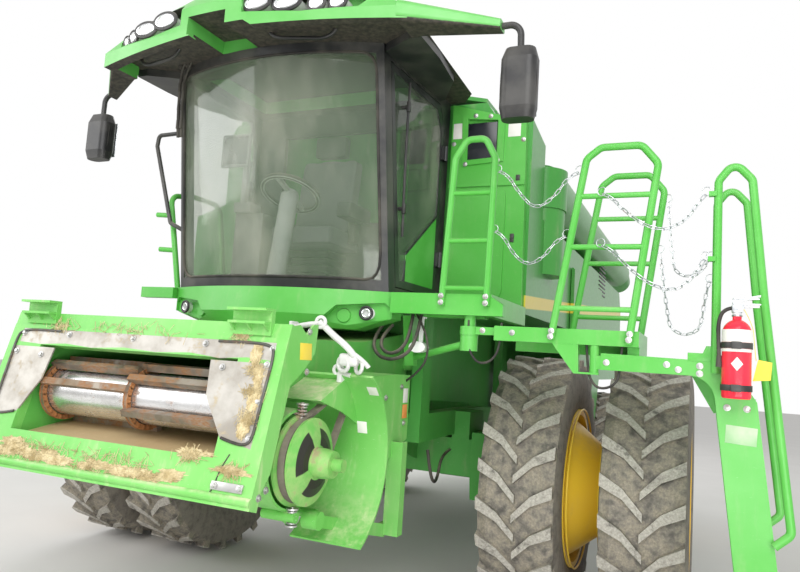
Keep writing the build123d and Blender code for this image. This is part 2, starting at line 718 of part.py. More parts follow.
def make_interior():
    with BuildPart() as seat:
        block((-190, -1140, cab_floor_z + gap), (190, -820, cab_floor_z + 330))
        block((-260, -1260, cab_floor_z + 330), (260, -790, cab_floor_z + 470))
        slab([(-840, cab_floor_z + 440), (-980, cab_floor_z + 440), (-900, cab_floor_z + 1060),
              (-820, cab_floor_z + 1060)], Plane.YZ, 240, both=True)
        slab([(-905, cab_floor_z + 1050), (-900, cab_floor_z + 1230), (-835, cab_floor_z + 1230),
              (-825, cab_floor_z + 1050)], Plane.YZ, 140, both=True)
        block((255, -1230, cab_floor_z + 520), (380, -880, cab_floor_z + 640))
        block((235, -1000, cab_floor_z + 380), (300, -900, cab_floor_z + 560))
    save(seat, "operator_seat")
    with BuildPart() as column:
        rod((0, -1500, cab_floor_z + 20), (0, -1402, cab_floor_z + 645), 62)
        block((-100, -1580, cab_floor_z + gap), (100, -1420, cab_floor_z + 70))
        with BuildSketch(Plane(origin=(0, -1400, cab_floor_z + 640), z_dir=(0, 0.4, 0.92))) as wheel:
            Circle(210)
            Circle(182, mode=Mode.SUBTRACT)
            Rectangle(400, 30)
            Circle(50)
        extrude(wheel.sketch, amount=26)
    save(column, "steering_column")
    with BuildPart() as console:
        block((-560, -1250, cab_floor_z + gap), (-320, -800, cab_floor_z + 560))
        block((-470, -1330, cab_floor_z + 620), (-430, -1290, cab_floor_z + 900))
        block((-520, -1330, cab_floor_z + 555), (-380, -1200, cab_floor_z + 625))
        block((-640, -1370, cab_floor_z + 880), (-400, -1345, cab_floor_z + 1120))
        block((-480, -1350, cab_floor_z + 890), (-420, -1290, cab_floor_z + 930))
    save(console, "control_console")


fascia_low = 1952
fascia_high = 2193
fascia_half = 850
recess_turn = 16


def fascia_outline(z, half, bow):
    with BuildSketch(Plane.XY.offset(z)) as plan:
        with BuildLine():
            Polyline((-half, cab_front_low + 10), (-half, cab_front_low + 150), (half, cab_front_low + 150),
                     (half, cab_front_low + 10))
            ThreePointArc((half, cab_front_low + 10), (0, cab_front_low - bow), (-half, cab_front_low + 10))
        make_face()
    return plan.sketch


def recess_plane(side):
    # floor of the lamp recess at one end of the cowl
    across = Vector(1, 0, 0).rotate(Axis.Z, side * recess_turn)
    outward = Vector(0, -1, 0).rotate(Axis.Z, side * recess_turn)
    return Plane(origin=(side * 626, -1502, 2060), x_dir=across, z_dir=outward)


def make_fascia():
    # curved cowl under the windshield, with a lamp recess at each end
    seat = cab_bulge + 34
    with BuildPart() as fascia:
        loft([fascia_outline(fascia_low, fascia_half - 250, seat + 10),
              fascia_outline(2030, fascia_half, seat + 40),
              fascia_outline(fascia_high, fascia_half, seat)], ruled=True)
        extrude(fascia_outline(cab_floor_z - 60 - gap, fascia_half - 4, cab_bulge + 12), amount=100,
                mode=Mode.SUBTRACT)
        block((-fascia_half - 1, cab_front_low + 12, cab_floor_z - 60 - gap),
              (fascia_half + 1, cab_front_low + 151, fascia_high + 1), mode=Mode.SUBTRACT)
        for side in (1, -1):
            outline = [(-215, -62), (-115, 34), (182, 64), (222, 30), (222, -34), (-60, -86)]
            with BuildSketch(recess_plane(side)) as recess:
                Polygon(*[(side * x, z) for x, z in outline], align=None)
            extrude(recess.sketch, amount=160, mode=Mode.SUBTRACT)
            with BuildSketch(recess_plane(side)) as blank:
                with Locations((side * -76, -26)):
                    Circle(46)
            extrude(blank.sketch, amount=16, taper=20)
    save(fascia, "front_fascia")


def fascia_lamp(side):
    with BuildSketch(recess_plane(side).offset(gap)) as ring:
        with Locations((side * 84, -6)):
            Circle(38)
    extrude(ring.sketch, amount=26)


def make_mirrors():
    # arm from the wing's tip and a rounded housing: side, tip y, mirror x, mirror y, low, high
    with BuildPart() as mirrors:
        for side, tip_x, tip_y, x, y, low, high in ((1, mirror_tip_x, -1920, 1702, -1902, 3065, 3449),
                                                    (-1, mirror_tip_x - 200, -1720, 1475, -1722, 3095,
                                                     3425)):
            bent_tube([(side * (tip_x + gap), tip_y, 3584), (side * x, tip_y, 3584),
                       (side * x, y, high - 5)], 18, 60)
            sections = []
            for z, width, depth in ((low, 170, 100), (low + 60, 192, 130), (high - 60, 192, 130),
                                    (high, 160, 95)):
                with BuildSketch(Plane.XY.offset(z)) as section:
                    with Locations((side * x, y)):
                        RectangleRounded(width, depth, 45)
                sections.append(section.sketch)
            loft(sections, ruled=True)
    save(mirrors, "mirrors")


# Landing, platform and ladder

def make_landing():
    with BuildPart() as landing:
        block((landing_in, landing_front, landing_z - beam_height),
              (landing_out, landing_front + 60, landing_z))
        block((landing_in, landing_front + 60, landing_z - 40), (landing_out, landing_rear, landing_z))
        block((landing_out - 60, landing_front + 50, landing_z - beam_height),
              (landing_out, landing_rear, landing_z))
        end = [(landing_out - 2, landing_z - 14), (landing_out + 70, landing_z - 60),
               (landing_out + 70, landing_z - beam_height), (landing_out - 2, landing_z - beam_height)]
        slab(end, Plane.XZ.offset(-landing_front - 60), 60)
        rod((pivot_post_x, pivot_post_y, 1950), (pivot_post_x, pivot_post_y, landing_z - 30), 34)
        rod((pivot_post_x, pivot_post_y, 1860), (pivot_post_x, pivot_post_y, 1952), 52)
        brace = [(landing_front + 200, landing_z - 125), (-1160, landing_z - 125), (-1160, 1750),
                 (-1220, 1750)]
        slab(brace, Plane.YZ.offset(landing_in), 60)
        block((landing_in + 50, landing_front + 200, landing_z - 130),
              (1395, landing_front + 280, landing_z - 35))
        rod((landing_in + 30, -1190, 1800), (pivot_post_x - 20, pivot_post_y, 1900), 22)
    save(landing, "landing")
    with BuildPart() as right:
        block((-right_out, landing_front, landing_z - 75), (-landing_in, landing_front + 60, landing_z))
        block((-right_out, landing_front + 60, landing_z - 40), (-landing_in, landing_rear, landing_z))
        y = landing_front + 75
        bent_tube([(-880, y, landing_z - 10), (-1030, y, 2880), (-1030, y + 250, 2930),
                   (-1030, y + 560, 2930),
                   (-905, y + 560, landing_z - 10)], rail_tube, 90)
        for z in (2470, 2730):
            share = (z - landing_z) / (2880 - landing_z)
            x = -880 - 150 * share
            rod((x, y, z), (x - 130, y - 16, z + 6), rail_tube * 0.9)
    save(right, "right_platform")


def make_railings():
    # foot left, shoulder left, apex, shoulder right, foot right as (x, height), then heights of the rungs
    y = landing_front - rail_tube - gap
    hoops = [(y, [(1193, landing_z - 70), (1232, 3000), (1300, 3110), (1415, 3112), (1478, 2990),
                  (1466, landing_z - 70)], (2220, 2500, 2785))]
    for y in (swing_front - rail_tube - gap, swing_front + platform_depth + rail_tube + gap):
        hoops.append((y, [(1846, platform_z - 60), (2004, 2945), (2080, 3005), (2290, 3005), (2375, 2900),
                          (2250, platform_z - 70)], (2120, 2455, 2735)))
    with BuildPart() as railings:
        for y, points, rungs in hoops:
            bent_tube([(x, y, z) for x, z in points], rail_tube, 55)
            left_foot, left_top = points[0], points[1]
            right_top, right_foot = points[-2], points[-1]
            for z in rungs:
                a = (z - left_foot[1]) / (left_top[1] - left_foot[1])
                b = (z - right_foot[1]) / (right_top[1] - right_foot[1])
                rod((left_foot[0] + a * (left_top[0] - left_foot[0]), y, z),
                    (right_foot[0] + b * (right_top[0] - right_foot[0]), y, z), rail_tube * 0.75)
    save(railings, "platform_railings")


def make_swing_platform():
    y0 = swing_front
    with BuildPart() as platform:
        block((platform_in, y0, platform_z - 82), (platform_out, y0 + 60, platform_z))
        block((platform_in, y0 + 55, platform_z - 40), (platform_out, y0 + platform_depth, platform_z))
        block((platform_out - 60, y0 + 50, platform_z - beam_height),
              (platform_out, y0 + platform_depth, platform_z))
        block((platform_in, y0 + platform_depth - 60, platform_z - beam_height),
              (platform_out, y0 + platform_depth, platform_z))
        rod((pivot_post_x, pivot_post_y, 1952 + gap), (pivot_post_x, pivot_post_y, platform_z - 6), 56)
        rod((pivot_post_x, pivot_post_y, 1900), (pivot_post_x, pivot_post_y, platform_z + 20), 34 + gap,
            mode=Mode.SUBTRACT)
        block((pivot_post_x + 48, pivot_post_y - 35, platform_z - 52),
              (platform_in + 5, pivot_post_y + 35, platform_z - 8))
        slab([(1845, platform_z - 75), (1990, platform_z - 75), (1996, 1772), (1970, 1772)],
             Plane.XZ.offset(-y0 - 48), 46)
        block((1970, y0 + 2, 1772), (ladder_pivot_x + 26, y0 + 48, 1782))
    save(platform, "swing_platform")


def make_ladder():
    y0 = swing_front
    lean = (stringer_low_x - stringer_top_x) / (1690 - stringer_low_z)
    with BuildPart() as ladder:
        rod((ladder_pivot_x, y0 + 25, 1782 + gap), (ladder_pivot_x, y0 + 25, platform_z - 82 - gap), 24)
        block((ladder_pivot_x, y0 + 5, ladder_z - 76), (ladder_in + 5, y0 + 45, ladder_z - 4))
        with BuildSketch(Plane.XZ.offset(-y0 - 12)) as side_view:
            with BuildLine():
                Polyline((ladder_in, ladder_z + 10), (stringer_top_x - 12, ladder_z),
                         (stringer_top_x + 100, ladder_z - 60),
                         (stringer_top_x + 186, 1690), (stringer_low_x + 186, stringer_low_z),
                         (stringer_low_x, stringer_low_z), (stringer_top_x, 1690))
                ThreePointArc((stringer_top_x, 1690), (stringer_top_x - 38, 1768),
                              (stringer_top_x - 122, ladder_z - 78))
                Polyline((stringer_top_x - 122, ladder_z - 78), (ladder_in, ladder_z - 78),
                         (ladder_in, ladder_z + 10))
            make_face()
        extrude(side_view.sketch, amount=12)
        block((ladder_in, y0, ladder_z - 78), (stringer_top_x - 20, y0 + 50, ladder_z))
        stringer = [(stringer_top_x, 1690), (stringer_top_x + 186, 1690),
                    (stringer_low_x + 186, stringer_low_z),
                    (stringer_low_x, stringer_low_z)]
        slab(stringer, Plane.XZ.offset(-y0 - ladder_width), 12)
        slab([(stringer_top_x - 150, ladder_z - 20), (stringer_top_x, ladder_z - 20),
              (stringer_top_x + 186, 1690),
              (stringer_top_x, 1600)], Plane.XZ.offset(-y0 - ladder_width), 12)
        for index in range(step_count):
            z = stringer_low_z + 50 + step_rise * index
            x = stringer_top_x + (1690 - z) * lean
            block((x + 20, y0 + 11, z), (x + 178, y0 + ladder_width - 11, z + 35))
        block((ladder_in, y0 + 45, ladder_z - 40), (stringer_top_x - 20, y0 + ladder_width, ladder_z))
    save(ladder, "ladder")
    with BuildPart() as handrail:
        for y in (y0 - rail_tube - gap, y0 + ladder_width + rail_tube + gap):
            bent_tube([(stringer_top_x, y, ladder_z - 60), (stringer_top_x, y, 2790),
                       (stringer_top_x + 72, y, 2885),
                  (stringer_top_x + 154, y, 2790), (stringer_top_x + 210, y, 2186), (handrail_out, y, 1095),
                  (stringer_top_x + 261, y, 1030)], rail_tube, 45)
        for z in (2722, 2388):
            block((stringer_top_x - 44, rail_front - 45, z - 12),
                  (stringer_top_x - 8, rail_front - 10, z + 12))
    save(handrail, "ladder_handrails")
    with BuildPart() as bottle:
        x = stringer_top_x + 89
        y = y0 - 120
        with BuildSketch(Plane.XZ.offset(-y)) as profile:
            with BuildLine():
                Polyline((0, 1705), (60, 1705), (65, 1715), (65, 2010))
                ThreePointArc((65, 2010), (48, 2058), (20, 2078))
                Polyline((20, 2078), (20, 2120), (0, 2120), (0, 1705))
            make_face()
        revolved = revolve(profile.sketch, axis=Axis(origin=(0, y, 0), direction=(0, 0, 1)),
                           mode=Mode.PRIVATE)
        add(revolved.moved(Location((x, 0, 0))))
        rod((x, y, 2118), (x, y, 2140), 15)
        block((x - 14, y - 9, 2138), (x + 95, y + 9, 2150))
        slab([(x - 10, 2158), (x + 100, 2190), (x + 100, 2200), (x - 20, 2176)], Plane.XZ.offset(-y - 8), 16)
        block((x - 14, y - 9, 2136), (x + 16, y + 9, 2172))
        block((x - 16, y + 60, 1735), (x + 16, y0 - gap, 1790))
        block((x - 16, y + 60, 1935), (x + 16, y0 - gap, 1975))
        for z in (1740, 1940):
            rod((x, y, z), (x, y, z + 30), 69)
    save(bottle, "fire_extinguisher")


chain_tube = 12


def hanging_cord(points, radius):
    # a tube along straight runs, each corner as round as its runs allow
    spots = [Vector(*point) for point in points]
    radii = []
    for before, corner, after in zip(spots, spots[1:], spots[2:]):
        first, second = corner - before, after - corner
        radii.append(0.45 * min(first.length, second.length) / tan(radians(first.get_angle(second) / 2)))
    print("cord radii", [round(r) for r in radii])
    with BuildLine() as path:
        FilletPolyline(*spots, radius=radii)
    with BuildSketch(Plane(origin=path.line @ 0, z_dir=path.line % 0)) as ring:
        Circle(radius)
    sweep(ring.sketch, path=path.line)


def make_chains():
    # chains between the railings, and over the ladder's pivot to its handrails
    front = rail_front
    back = rail_back
    routes = [
        [(1501.5, front, 2908), (1555, front, 2888), (1620, front - 5, 2785), (1728, front - 10, 2668),
         (1840, front - 15, 2745), (1905, front - 18, 2850), (1964.4, front - 20, 2872)],
        [(1497.5, front, 2554), (1548, front, 2530), (1608, front - 5, 2425), (1697, front - 10, 2352),
         (1790, front - 15, 2400), (1850, front - 18, 2490), (1907.5, front - 20, 2516)],
        [(2097, -1567.2, 2738), (2140, -1582, 2722), (2215, -1582, 2640), (2315, -1580, 2560),
         (2415, -1580, 2533), (2510, -1575, 2580), (2575, -1565, 2680), (2605.9, -1552, 2722)],
        [(2100, -1567.2, 2458), (2145, -1582, 2442), (2230, -1582, 2350), (2335, -1580, 2260),
         (2451, -1580, 2218), (2530, -1572, 2262), (2582, -1562, 2345), (2604.2, -1552, 2388)],
        [(2400.1, back, 2841), (2408, back - 8, 2720), (2420, back - 18, 2600), (2430, back - 28, 2500),
         (2438, back - 36, 2425), (2471, back - 46, 2386), (2521, back - 57, 2372), (2571, back - 70, 2387),
         (2604, back - 80, 2427), (2631, back - 90, 2475)],
        [(2359.5, back, 2530), (2376, back - 12, 2400), (2391, back - 22, 2270), (2408, back - 30, 2165),
         (2420, back - 36, 2088), (2455, back - 43, 2048), (2506, back - 52, 2033), (2556, back - 60, 2047),
         (2590, back - 68, 2087), (2600, back - 75, 2165), (2614, back - 82, 2265), (2631, back - 90, 2345)],
    ]
    with BuildPart() as chains:
        for route in routes:
            hanging_cord(route, chain_tube)
    save(chains, "safety_chains")


# Feeder house

def face_point(share, back=0):
    # a point on the tilted face, from its low edge to its top edge
    dy = face_top_y - face_low_y
    dz = face_top_z - face_low_z
    length = hypot(dy, dz)
    normal = (dz / length, -dy / length)
    return (face_low_y + dy * share + back * normal[0], face_low_z + dz * share + back * normal[1])


def face_share(z):
    # where a height lies on the face
    return (z - face_low_z) / (face_top_z - face_low_z)


face_height = hypot(face_top_y - face_low_y, face_top_z - face_low_z)
face_normal = (0, -(face_top_z - face_low_z), face_top_y - face_low_y)
drum_place = face_point(0.55, 205)
mouth_low = 0.235
mouth_high = 0.784
wear_thick = 8


def on_face(points, back, amount, mode=Mode.ADD):
    # an outline of (x, height) points laid on the face, pushed inwards from a depth
    plane = Plane(origin=(0, *face_point(0, back)), x_dir=(1, 0, 0), z_dir=face_normal)
    slab([(x, face_share(z) * face_height) for x, z in points], plane, -amount, mode=mode)


def wear_outlines():
    # worn plates over the mouth and at its two upper corners
    waves = [(840, 1743), (700, 1752), (540, 1740), (360, 1756), (150, 1745), (-60, 1757), (-280, 1744),
             (-470, 1756), (-650, 1745), (-817, 1752)]
    top = [(-817, 1826), (840, 1826)] + waves
    right = [(838, 1730), (834, 1360), (656, 1394), (590, 1480), (523, 1567), (497, 1730)]
    left = [(-838, 1730), (-834, 1360), (-656, 1394), (-610, 1480), (-560, 1567), (-540, 1730)]
    return top, right, left


def make_feeder():
    floor_start = face_point(0.2, 20)
    with BuildPart() as duct:
        outline = [face_point(0.16, 58 + gap), face_point(0.94, 58 + gap), (-1500, 1875),
                   (feeder_pivot_y - 60, 1960),
                   (feeder_pivot_y + 40, feeder_pivot_z + 40), (feeder_pivot_y - 40, 1500)]
        slab(outline, Plane.YZ, throat_half + 40, both=True)
        inner = [floor_start, face_point(0.9, 20), (-1500, 1835), (feeder_pivot_y - 200, 1880),
                 (feeder_pivot_y - 200, 1580)]
        slab(inner, Plane.YZ, throat_half, both=True, mode=Mode.SUBTRACT)
        shaft_end = hull_half + pivot_post_in - gap
        rod((-shaft_end, feeder_pivot_y, feeder_pivot_z), (shaft_end, feeder_pivot_y, feeder_pivot_z), 50)
        for x in (-cylinder_x, cylinder_x):
            for edge in (-1, 1):
                slab([(rod_eye_y + 60, rod_eye_z - 50), (rod_eye_y + 120, 1400), (rod_eye_y - 120, 1400),
                      (rod_eye_y - 60, rod_eye_z - 50)], Plane.YZ.offset(x + edge * 48 - 8), 16)
    save(duct, "feeder_house")
    with BuildPart() as face:
        on_face([(-feeder_half, face_low_z), (feeder_half, face_low_z), (feeder_half, face_top_z),
                 (-feeder_half, face_top_z)], 0, 58)
        low = face_low_z + mouth_low * (face_top_z - face_low_z)
        high = face_low_z + mouth_high * (face_top_z - face_low_z)
        on_face([(-throat_half, low), (throat_half, low), (throat_half, high), (-throat_half, high)], 0, 58,
                mode=Mode.SUBTRACT)
        on_face([(-feeder_half - 1, 1848), (feeder_half + 1, 1848), (feeder_half + 1, face_top_z + 1),
                 (-feeder_half - 1, face_top_z + 1)], 0, 3, mode=Mode.SUBTRACT)
        for outline in wear_outlines():
            on_face(outline, 0, wear_thick + 0.5 + gap, mode=Mode.SUBTRACT)
        rod((-feeder_half, face_low_y + 12, face_low_z + 30), (feeder_half, face_low_y + 12,
                                                               face_low_z + 30), 20)
        flange = [face_point(0.06, 20), face_point(0.995, 20), (-2560, 1916), (-2500, 1873), (-2440, 1926),
                  (-2400, 1928), (-2415, 1790), (-2500, 1709), face_point(0.68, 95), face_point(0.2, 95),
                  face_point(0.08, 50)]
        for side in (-1, 1):
            slab(flange, Plane.YZ.offset(side * feeder_half), -12 * side)
            # saddle that the header hangs on
            start = 584 if side == 1 else -800
            block((start, -2660, face_top_z - 58), (start + 218, -2632, 1980))
            block((start, -2712, 1968), (start + 218, -2640, 1980))
            block((start + 5, -2706, 1908), (start + 213, -2640, 1920))
            for x in (start + 8, start + 104, start + 200):
                slab([(-2645, 1862), (-2704, 1912), (-2645, 1912)], Plane.YZ.offset(x), 10)
    save(face, "feeder_face")
    with BuildPart() as wear:
        for outline in wear_outlines():
            on_face(outline, 0.5, wear_thick)
    save(wear, "feeder_wear_plates")
    with BuildPart() as drum:
        rod((-drum_half, *drum_place), (drum_half, *drum_place), drum_radius)
        rod((-throat_half + gap, *drum_place), (throat_half - gap, *drum_place), 30)
    save(drum, "feeder_drum")
    make_chain(floor_start)


chain_in = drum_radius + 7
chain_out = chain_in + 20


def make_chain(floor_start):
    # three strands round the drum, joined by slats that run on the floor
    rise = (1580 - floor_start[1]) / (feeder_pivot_y - 200 - floor_start[0])
    fall = degrees(atan(rise))
    drop = drum_place[1] - floor_start[1] - rise * (drum_place[0] - floor_start[0])
    slat_out = drop * cos(radians(fall)) - gap
    # directions along the floor and away from it
    along = Vector(0, cos(radians(fall)), sin(radians(fall)))
    away = Vector(0, -along.Z, along.Y)
    middle = Vector(0, *drum_place)
    with BuildPart() as chain:
        for start in (-600, -10, 580):
            outer = [middle - away * chain_out, middle - along * chain_out, middle + away * chain_out]
            inner = [middle - away * chain_in, middle - along * chain_in, middle + away * chain_in]
            with BuildSketch(Plane.YZ.offset(start)) as strand:
                with BuildLine():
                    ThreePointArc(*[(p.Y, p.Z) for p in outer])
                    back = (outer[2].Y + 380, outer[2].Z)
                    Line((outer[2].Y, outer[2].Z), back)
                    Line(back, (back[0], inner[2].Z))
                    Line((back[0], inner[2].Z), (inner[2].Y, inner[2].Z))
                    ThreePointArc(*[(p.Y, p.Z) for p in reversed(inner)])
                    low = inner[0] + along * 900
                    Line((inner[0].Y, inner[0].Z), (low.Y, low.Z))
                    end = outer[0] + along * 900
                    Line((low.Y, low.Z), (end.Y, end.Z))
                    Line((end.Y, end.Z), (outer[0].Y, outer[0].Z))
                make_face()
            extrude(strand.sketch, amount=20)
        # first x, last x, turns round the drum, places along the floor
        for start, end, turns, places in ((-600, 10, (18, 58, 98), (60, 330, 600)),
                                          (-10, 600, (-22, 38, 78), (190, 460, 730))):
            for turn in turns:
                spot = middle + Vector(0, -cos(radians(turn)),
                                       sin(radians(turn))) * ((chain_in + slat_out) / 2 + 4)
                with Locations(Location(((start + end) / 2, spot.Y, spot.Z), (-turn, 0, 0))):
                    Box(end - start, slat_out - chain_in - 8, 34)
            for place in places:
                spot = middle - away * ((chain_in + slat_out) / 2 + 4) + along * place
                with Locations(Location(((start + end) / 2, spot.Y, spot.Z), (fall, 0, 0))):
                    Box(end - start, 34, slat_out - chain_in - 8)
    save(chain, "feeder_chain")


drive_y = -2420
drive_z = 1280
drive_hub_x = 1050
drive_tip_x = 1100
drive_tip_radius = 30


def ring_sector(radius, thick, first, last, x, amount):
    # part of a round wall about the drive's axis
    with BuildSketch(Plane.YZ.offset(x)) as wall:
        with Locations((drive_y, drive_z)):
            Circle(radius)
            Circle(radius - thick, mode=Mode.SUBTRACT)
        reach = 2.5 * radius
        middle = (first + last) / 2
        fan = [(drive_y, drive_z)] + [(drive_y + reach * cos(radians(a)), drive_z + reach * sin(radians(a)))
                                      for a in (first, middle, last)]
        Polygon(*fan, align=None, mode=Mode.INTERSECT)
    extrude(wall.sketch, amount=amount)


def make_feeder_drive():
    seat_x = throat_half + 40 + gap
    plate = 12
    with BuildPart() as pulley:
        profile = [(seat_x + plate + gap, 0), (drive_tip_x, 0), (drive_tip_x, drive_tip_radius),
                   (drive_hub_x, drive_tip_radius), (drive_hub_x, 62), (1000, 70), (960, 70), (955, 120),
                   (925, 205),
                   (912, 205), (888, 128), (880, 128), (858, 215), (846, 215), (835, 110), (760, 60),
                   (seat_x + plate + gap, 60)]
        turned(profile, (0, drive_y, drive_z))
    save(pulley, "feeder_drive_pulley")
    with BuildPart() as shield:
        base = [(-2640, 1200), (-2610, 1480), (-2382, 1563), (-2150, 1665), (-1500, 1695), (-1290, 1690),
                (-1290, 1330), (-1930, 1240), (-2000, 1060), (-2180, 890), (-2330, 985), (-2560, 1090)]
        slab(base, Plane.YZ.offset(seat_x), plate)
        cover = [(-2382, 1563), (-2150, 1665), (-1500, 1695), (-1290, 1690), (-1290, 1300), (-1600, 1180),
                 (-1900, 1400), (-2150, 1500)]
        slab(cover, Plane.YZ.offset(seat_x + plate - 1), 930 - seat_x - plate)
        hollow = [(-2330, 1520), (-2140, 1640), (-1510, 1670), (-1315, 1665), (-1315, 1250), (-1600, 1150),
                  (-1890, 1370), (-2150, 1460)]
        slab(hollow, Plane.YZ.offset(seat_x + plate), 918 - seat_x - plate, mode=Mode.SUBTRACT)
        ring_sector(480, 12, -62, 60, seat_x + plate - 1, 1105 - seat_x - plate)
        ring_sector(240, 14, 60, 320, seat_x + plate - 1, 840 - seat_x - plate)
        # channel and arm under the cover
        block((905, -1510, 760), (1000, -1500, 1300))
        for x in (905, 990):
            block((x, -1505, 760), (x + 10, -1440, 1300))
        slab([(-2310, 1015), (-2310, 955), (-1500, 745), (-1440, 770), (-1440, 820), (-1500, 820)],
             Plane.YZ.offset(868), 42)
        rod((845, -2300, 985), (930, -2300, 985), 44)
        rod((seat_x + plate - 1, -2240, 1000), (870, -2240, 1000), 24)
        rod((seat_x + plate - 1, -2450, 1021), (884, -2450, 1021), 26)
    save(shield, "feeder_side_shield")


def make_cylinders():
    base = Vector(0, cylinder_base_y, cylinder_base_z)
    eye = Vector(0, rod_eye_y, rod_eye_z)
    along = (eye - base).normalized()
    barrel_end = base + along * ((eye - base).length * barrel_share)
    with BuildPart() as barrels:
        for x in (-cylinder_x, cylinder_x):
            side = Vector(x, 0, 0)
            rod(tuple(base + side + along * 60), tuple(barrel_end + side), 52)
            rod(tuple(base + side + along * 130), tuple(barrel_end + side + along), rod_radius + 3,
                mode=Mode.SUBTRACT)
            rod(tuple(base + Vector(x - 60 + gap, 0, 0)), tuple(base + Vector(x + 60 - gap, 0, 0)), 62)
    save(barrels, "lift_cylinder_barrels")
    with BuildPart() as rods:
        for x in (-cylinder_x, cylinder_x):
            side = Vector(x, 0, 0)
            rod(tuple(barrel_end + side - along * rod_inside), tuple(eye + side - along * 30), rod_radius)
            rod(tuple(eye + Vector(x - 40 + gap, 0, 0)), tuple(eye + Vector(x + 40 - gap, 0, 0)), 46)
    save(rods, "lift_cylinder_rods")


# Unloading auger and body panels

def make_auger():
    with BuildPart() as auger:
        rod((auger_x, auger_pivot_y, auger_turn_z), (auger_x, auger_pivot_y, auger_z + 120),
            auger_radius + 12)
        rod((auger_x, auger_pivot_y, auger_z), (auger_x, auger_pivot_y + auger_length, auger_z),
            auger_radius)
        rod((auger_x, auger_pivot_y + auger_length, auger_z),
            (auger_x, auger_pivot_y + auger_length + 260, auger_z - 90), auger_radius - 12)
    save(auger, "unloading_auger")


def make_tower():
    # enclosure beside the cab, with a framed window and its service door
    front = body_front - 60
    with BuildPart() as tower:
        slab([(880, body_low), (880, 3680), (1435, 3520), (1457, body_low)],
             Plane.XZ.offset(-body_front + gap),
             60 - gap)
        frame = [(958, 3596), (1282, 3560), (1282, 3230), (975, 3210)]
        slab(frame, Plane.XZ.offset(-front - 1), 13)
        slab([(1005, 3560), (1233, 3535), (1233, 3262), (1012, 3250)], Plane.XZ.offset(-front + 14), 60,
             mode=Mode.SUBTRACT)
        slab([(1005, 3560), (1233, 3535), (1233, 3262), (1012, 3250)], Plane.XZ.offset(-front - 20), 46,
             mode=Mode.SUBTRACT)
        with BuildSketch(Plane.XZ.offset(-front - 1)) as door:
            with Locations((1107, 2640)):
                RectangleRounded(410, 790, 60)
        extrude(door.sketch, amount=13)
        slab([(882, 3052), (882, 3080), (1442, 3080), (1444, 3052)], Plane.XZ.offset(-front - 1), 15)
    save(tower, "tower_panel")


panel_hinge_z = body_low + 560
panel_hinge_x = body_half + 14 + gap


def make_side_panels():
    for side, word in ((1, "left"), (-1, "right")):
        x = side * (body_half + 6)
        outline = [(1080, panel_hinge_z), (2900, panel_hinge_z), (2900, 1750), (2650, 1250), (1250, 1250),
                   (1080, 1500)]
        with BuildPart() as panel:
            slab(outline, Plane.YZ.offset(x if side == 1 else x - panel_thick), panel_thick)
            rod((side * panel_hinge_x, 1080, panel_hinge_z), (side * panel_hinge_x, 2900, panel_hinge_z), 14)
        save(panel, f"side_panel_{word}")


make_tyres()
make_wheels()
make_axles()
make_frame()
make_hull()
make_tank()
make_covers()
make_rear_body()
make_screen()
make_tail()
make_cab()
make_roof()
make_lamps()
make_interior()
make_fascia()
make_mirrors()
make_landing()
make_railings()
make_swing_platform()
make_ladder()
make_chains()
make_feeder()
make_feeder_drive()
make_cylinders()
make_auger()
make_tower()
make_side_panels()
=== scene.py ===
import random
from math import acos, atan2, cos, pi, radians, sin

import bpy
from mathutils import Matrix, Vector
from mathutils.noise import turbulence


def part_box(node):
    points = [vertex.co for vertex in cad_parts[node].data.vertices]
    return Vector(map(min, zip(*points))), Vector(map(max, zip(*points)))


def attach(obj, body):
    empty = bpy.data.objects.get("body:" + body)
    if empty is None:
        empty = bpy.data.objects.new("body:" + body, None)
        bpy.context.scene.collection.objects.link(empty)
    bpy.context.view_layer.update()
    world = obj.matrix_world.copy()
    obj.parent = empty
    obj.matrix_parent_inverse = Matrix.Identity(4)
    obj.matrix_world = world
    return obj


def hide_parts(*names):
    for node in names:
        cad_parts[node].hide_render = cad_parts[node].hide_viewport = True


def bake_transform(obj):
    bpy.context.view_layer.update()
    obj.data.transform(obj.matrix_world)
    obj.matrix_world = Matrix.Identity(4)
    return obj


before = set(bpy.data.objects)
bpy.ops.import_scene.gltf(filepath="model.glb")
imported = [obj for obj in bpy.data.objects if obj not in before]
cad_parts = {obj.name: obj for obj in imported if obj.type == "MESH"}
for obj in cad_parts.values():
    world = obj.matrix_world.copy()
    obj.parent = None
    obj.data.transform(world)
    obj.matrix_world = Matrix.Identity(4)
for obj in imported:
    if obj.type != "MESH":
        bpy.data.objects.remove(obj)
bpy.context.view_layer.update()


# Places are written in millimetres from the machine's own zero:
# centre line, front axle and ground, with the front along -Y.

def machineZero():
    lowLeft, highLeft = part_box("wheel_front_left")
    lowRight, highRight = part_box("wheel_front_right")
    x = (lowLeft.x + highLeft.x + lowRight.x + highRight.x) / 4
    return Vector((x, (lowLeft.y + highLeft.y) / 2, 0))


zero = machineZero()


def at(x, y, z):
    return zero + Vector((x, y, z)) / 1000


# Camera

cameraValues = {"place": (2620, -5302, 1795), "yaw": 24.19, "pitch": 5.94, "roll": 3.71,
                "focalPixels": 688.4, "imageWidth": 800, "sensorWidth": 36, "farEnd": 200}


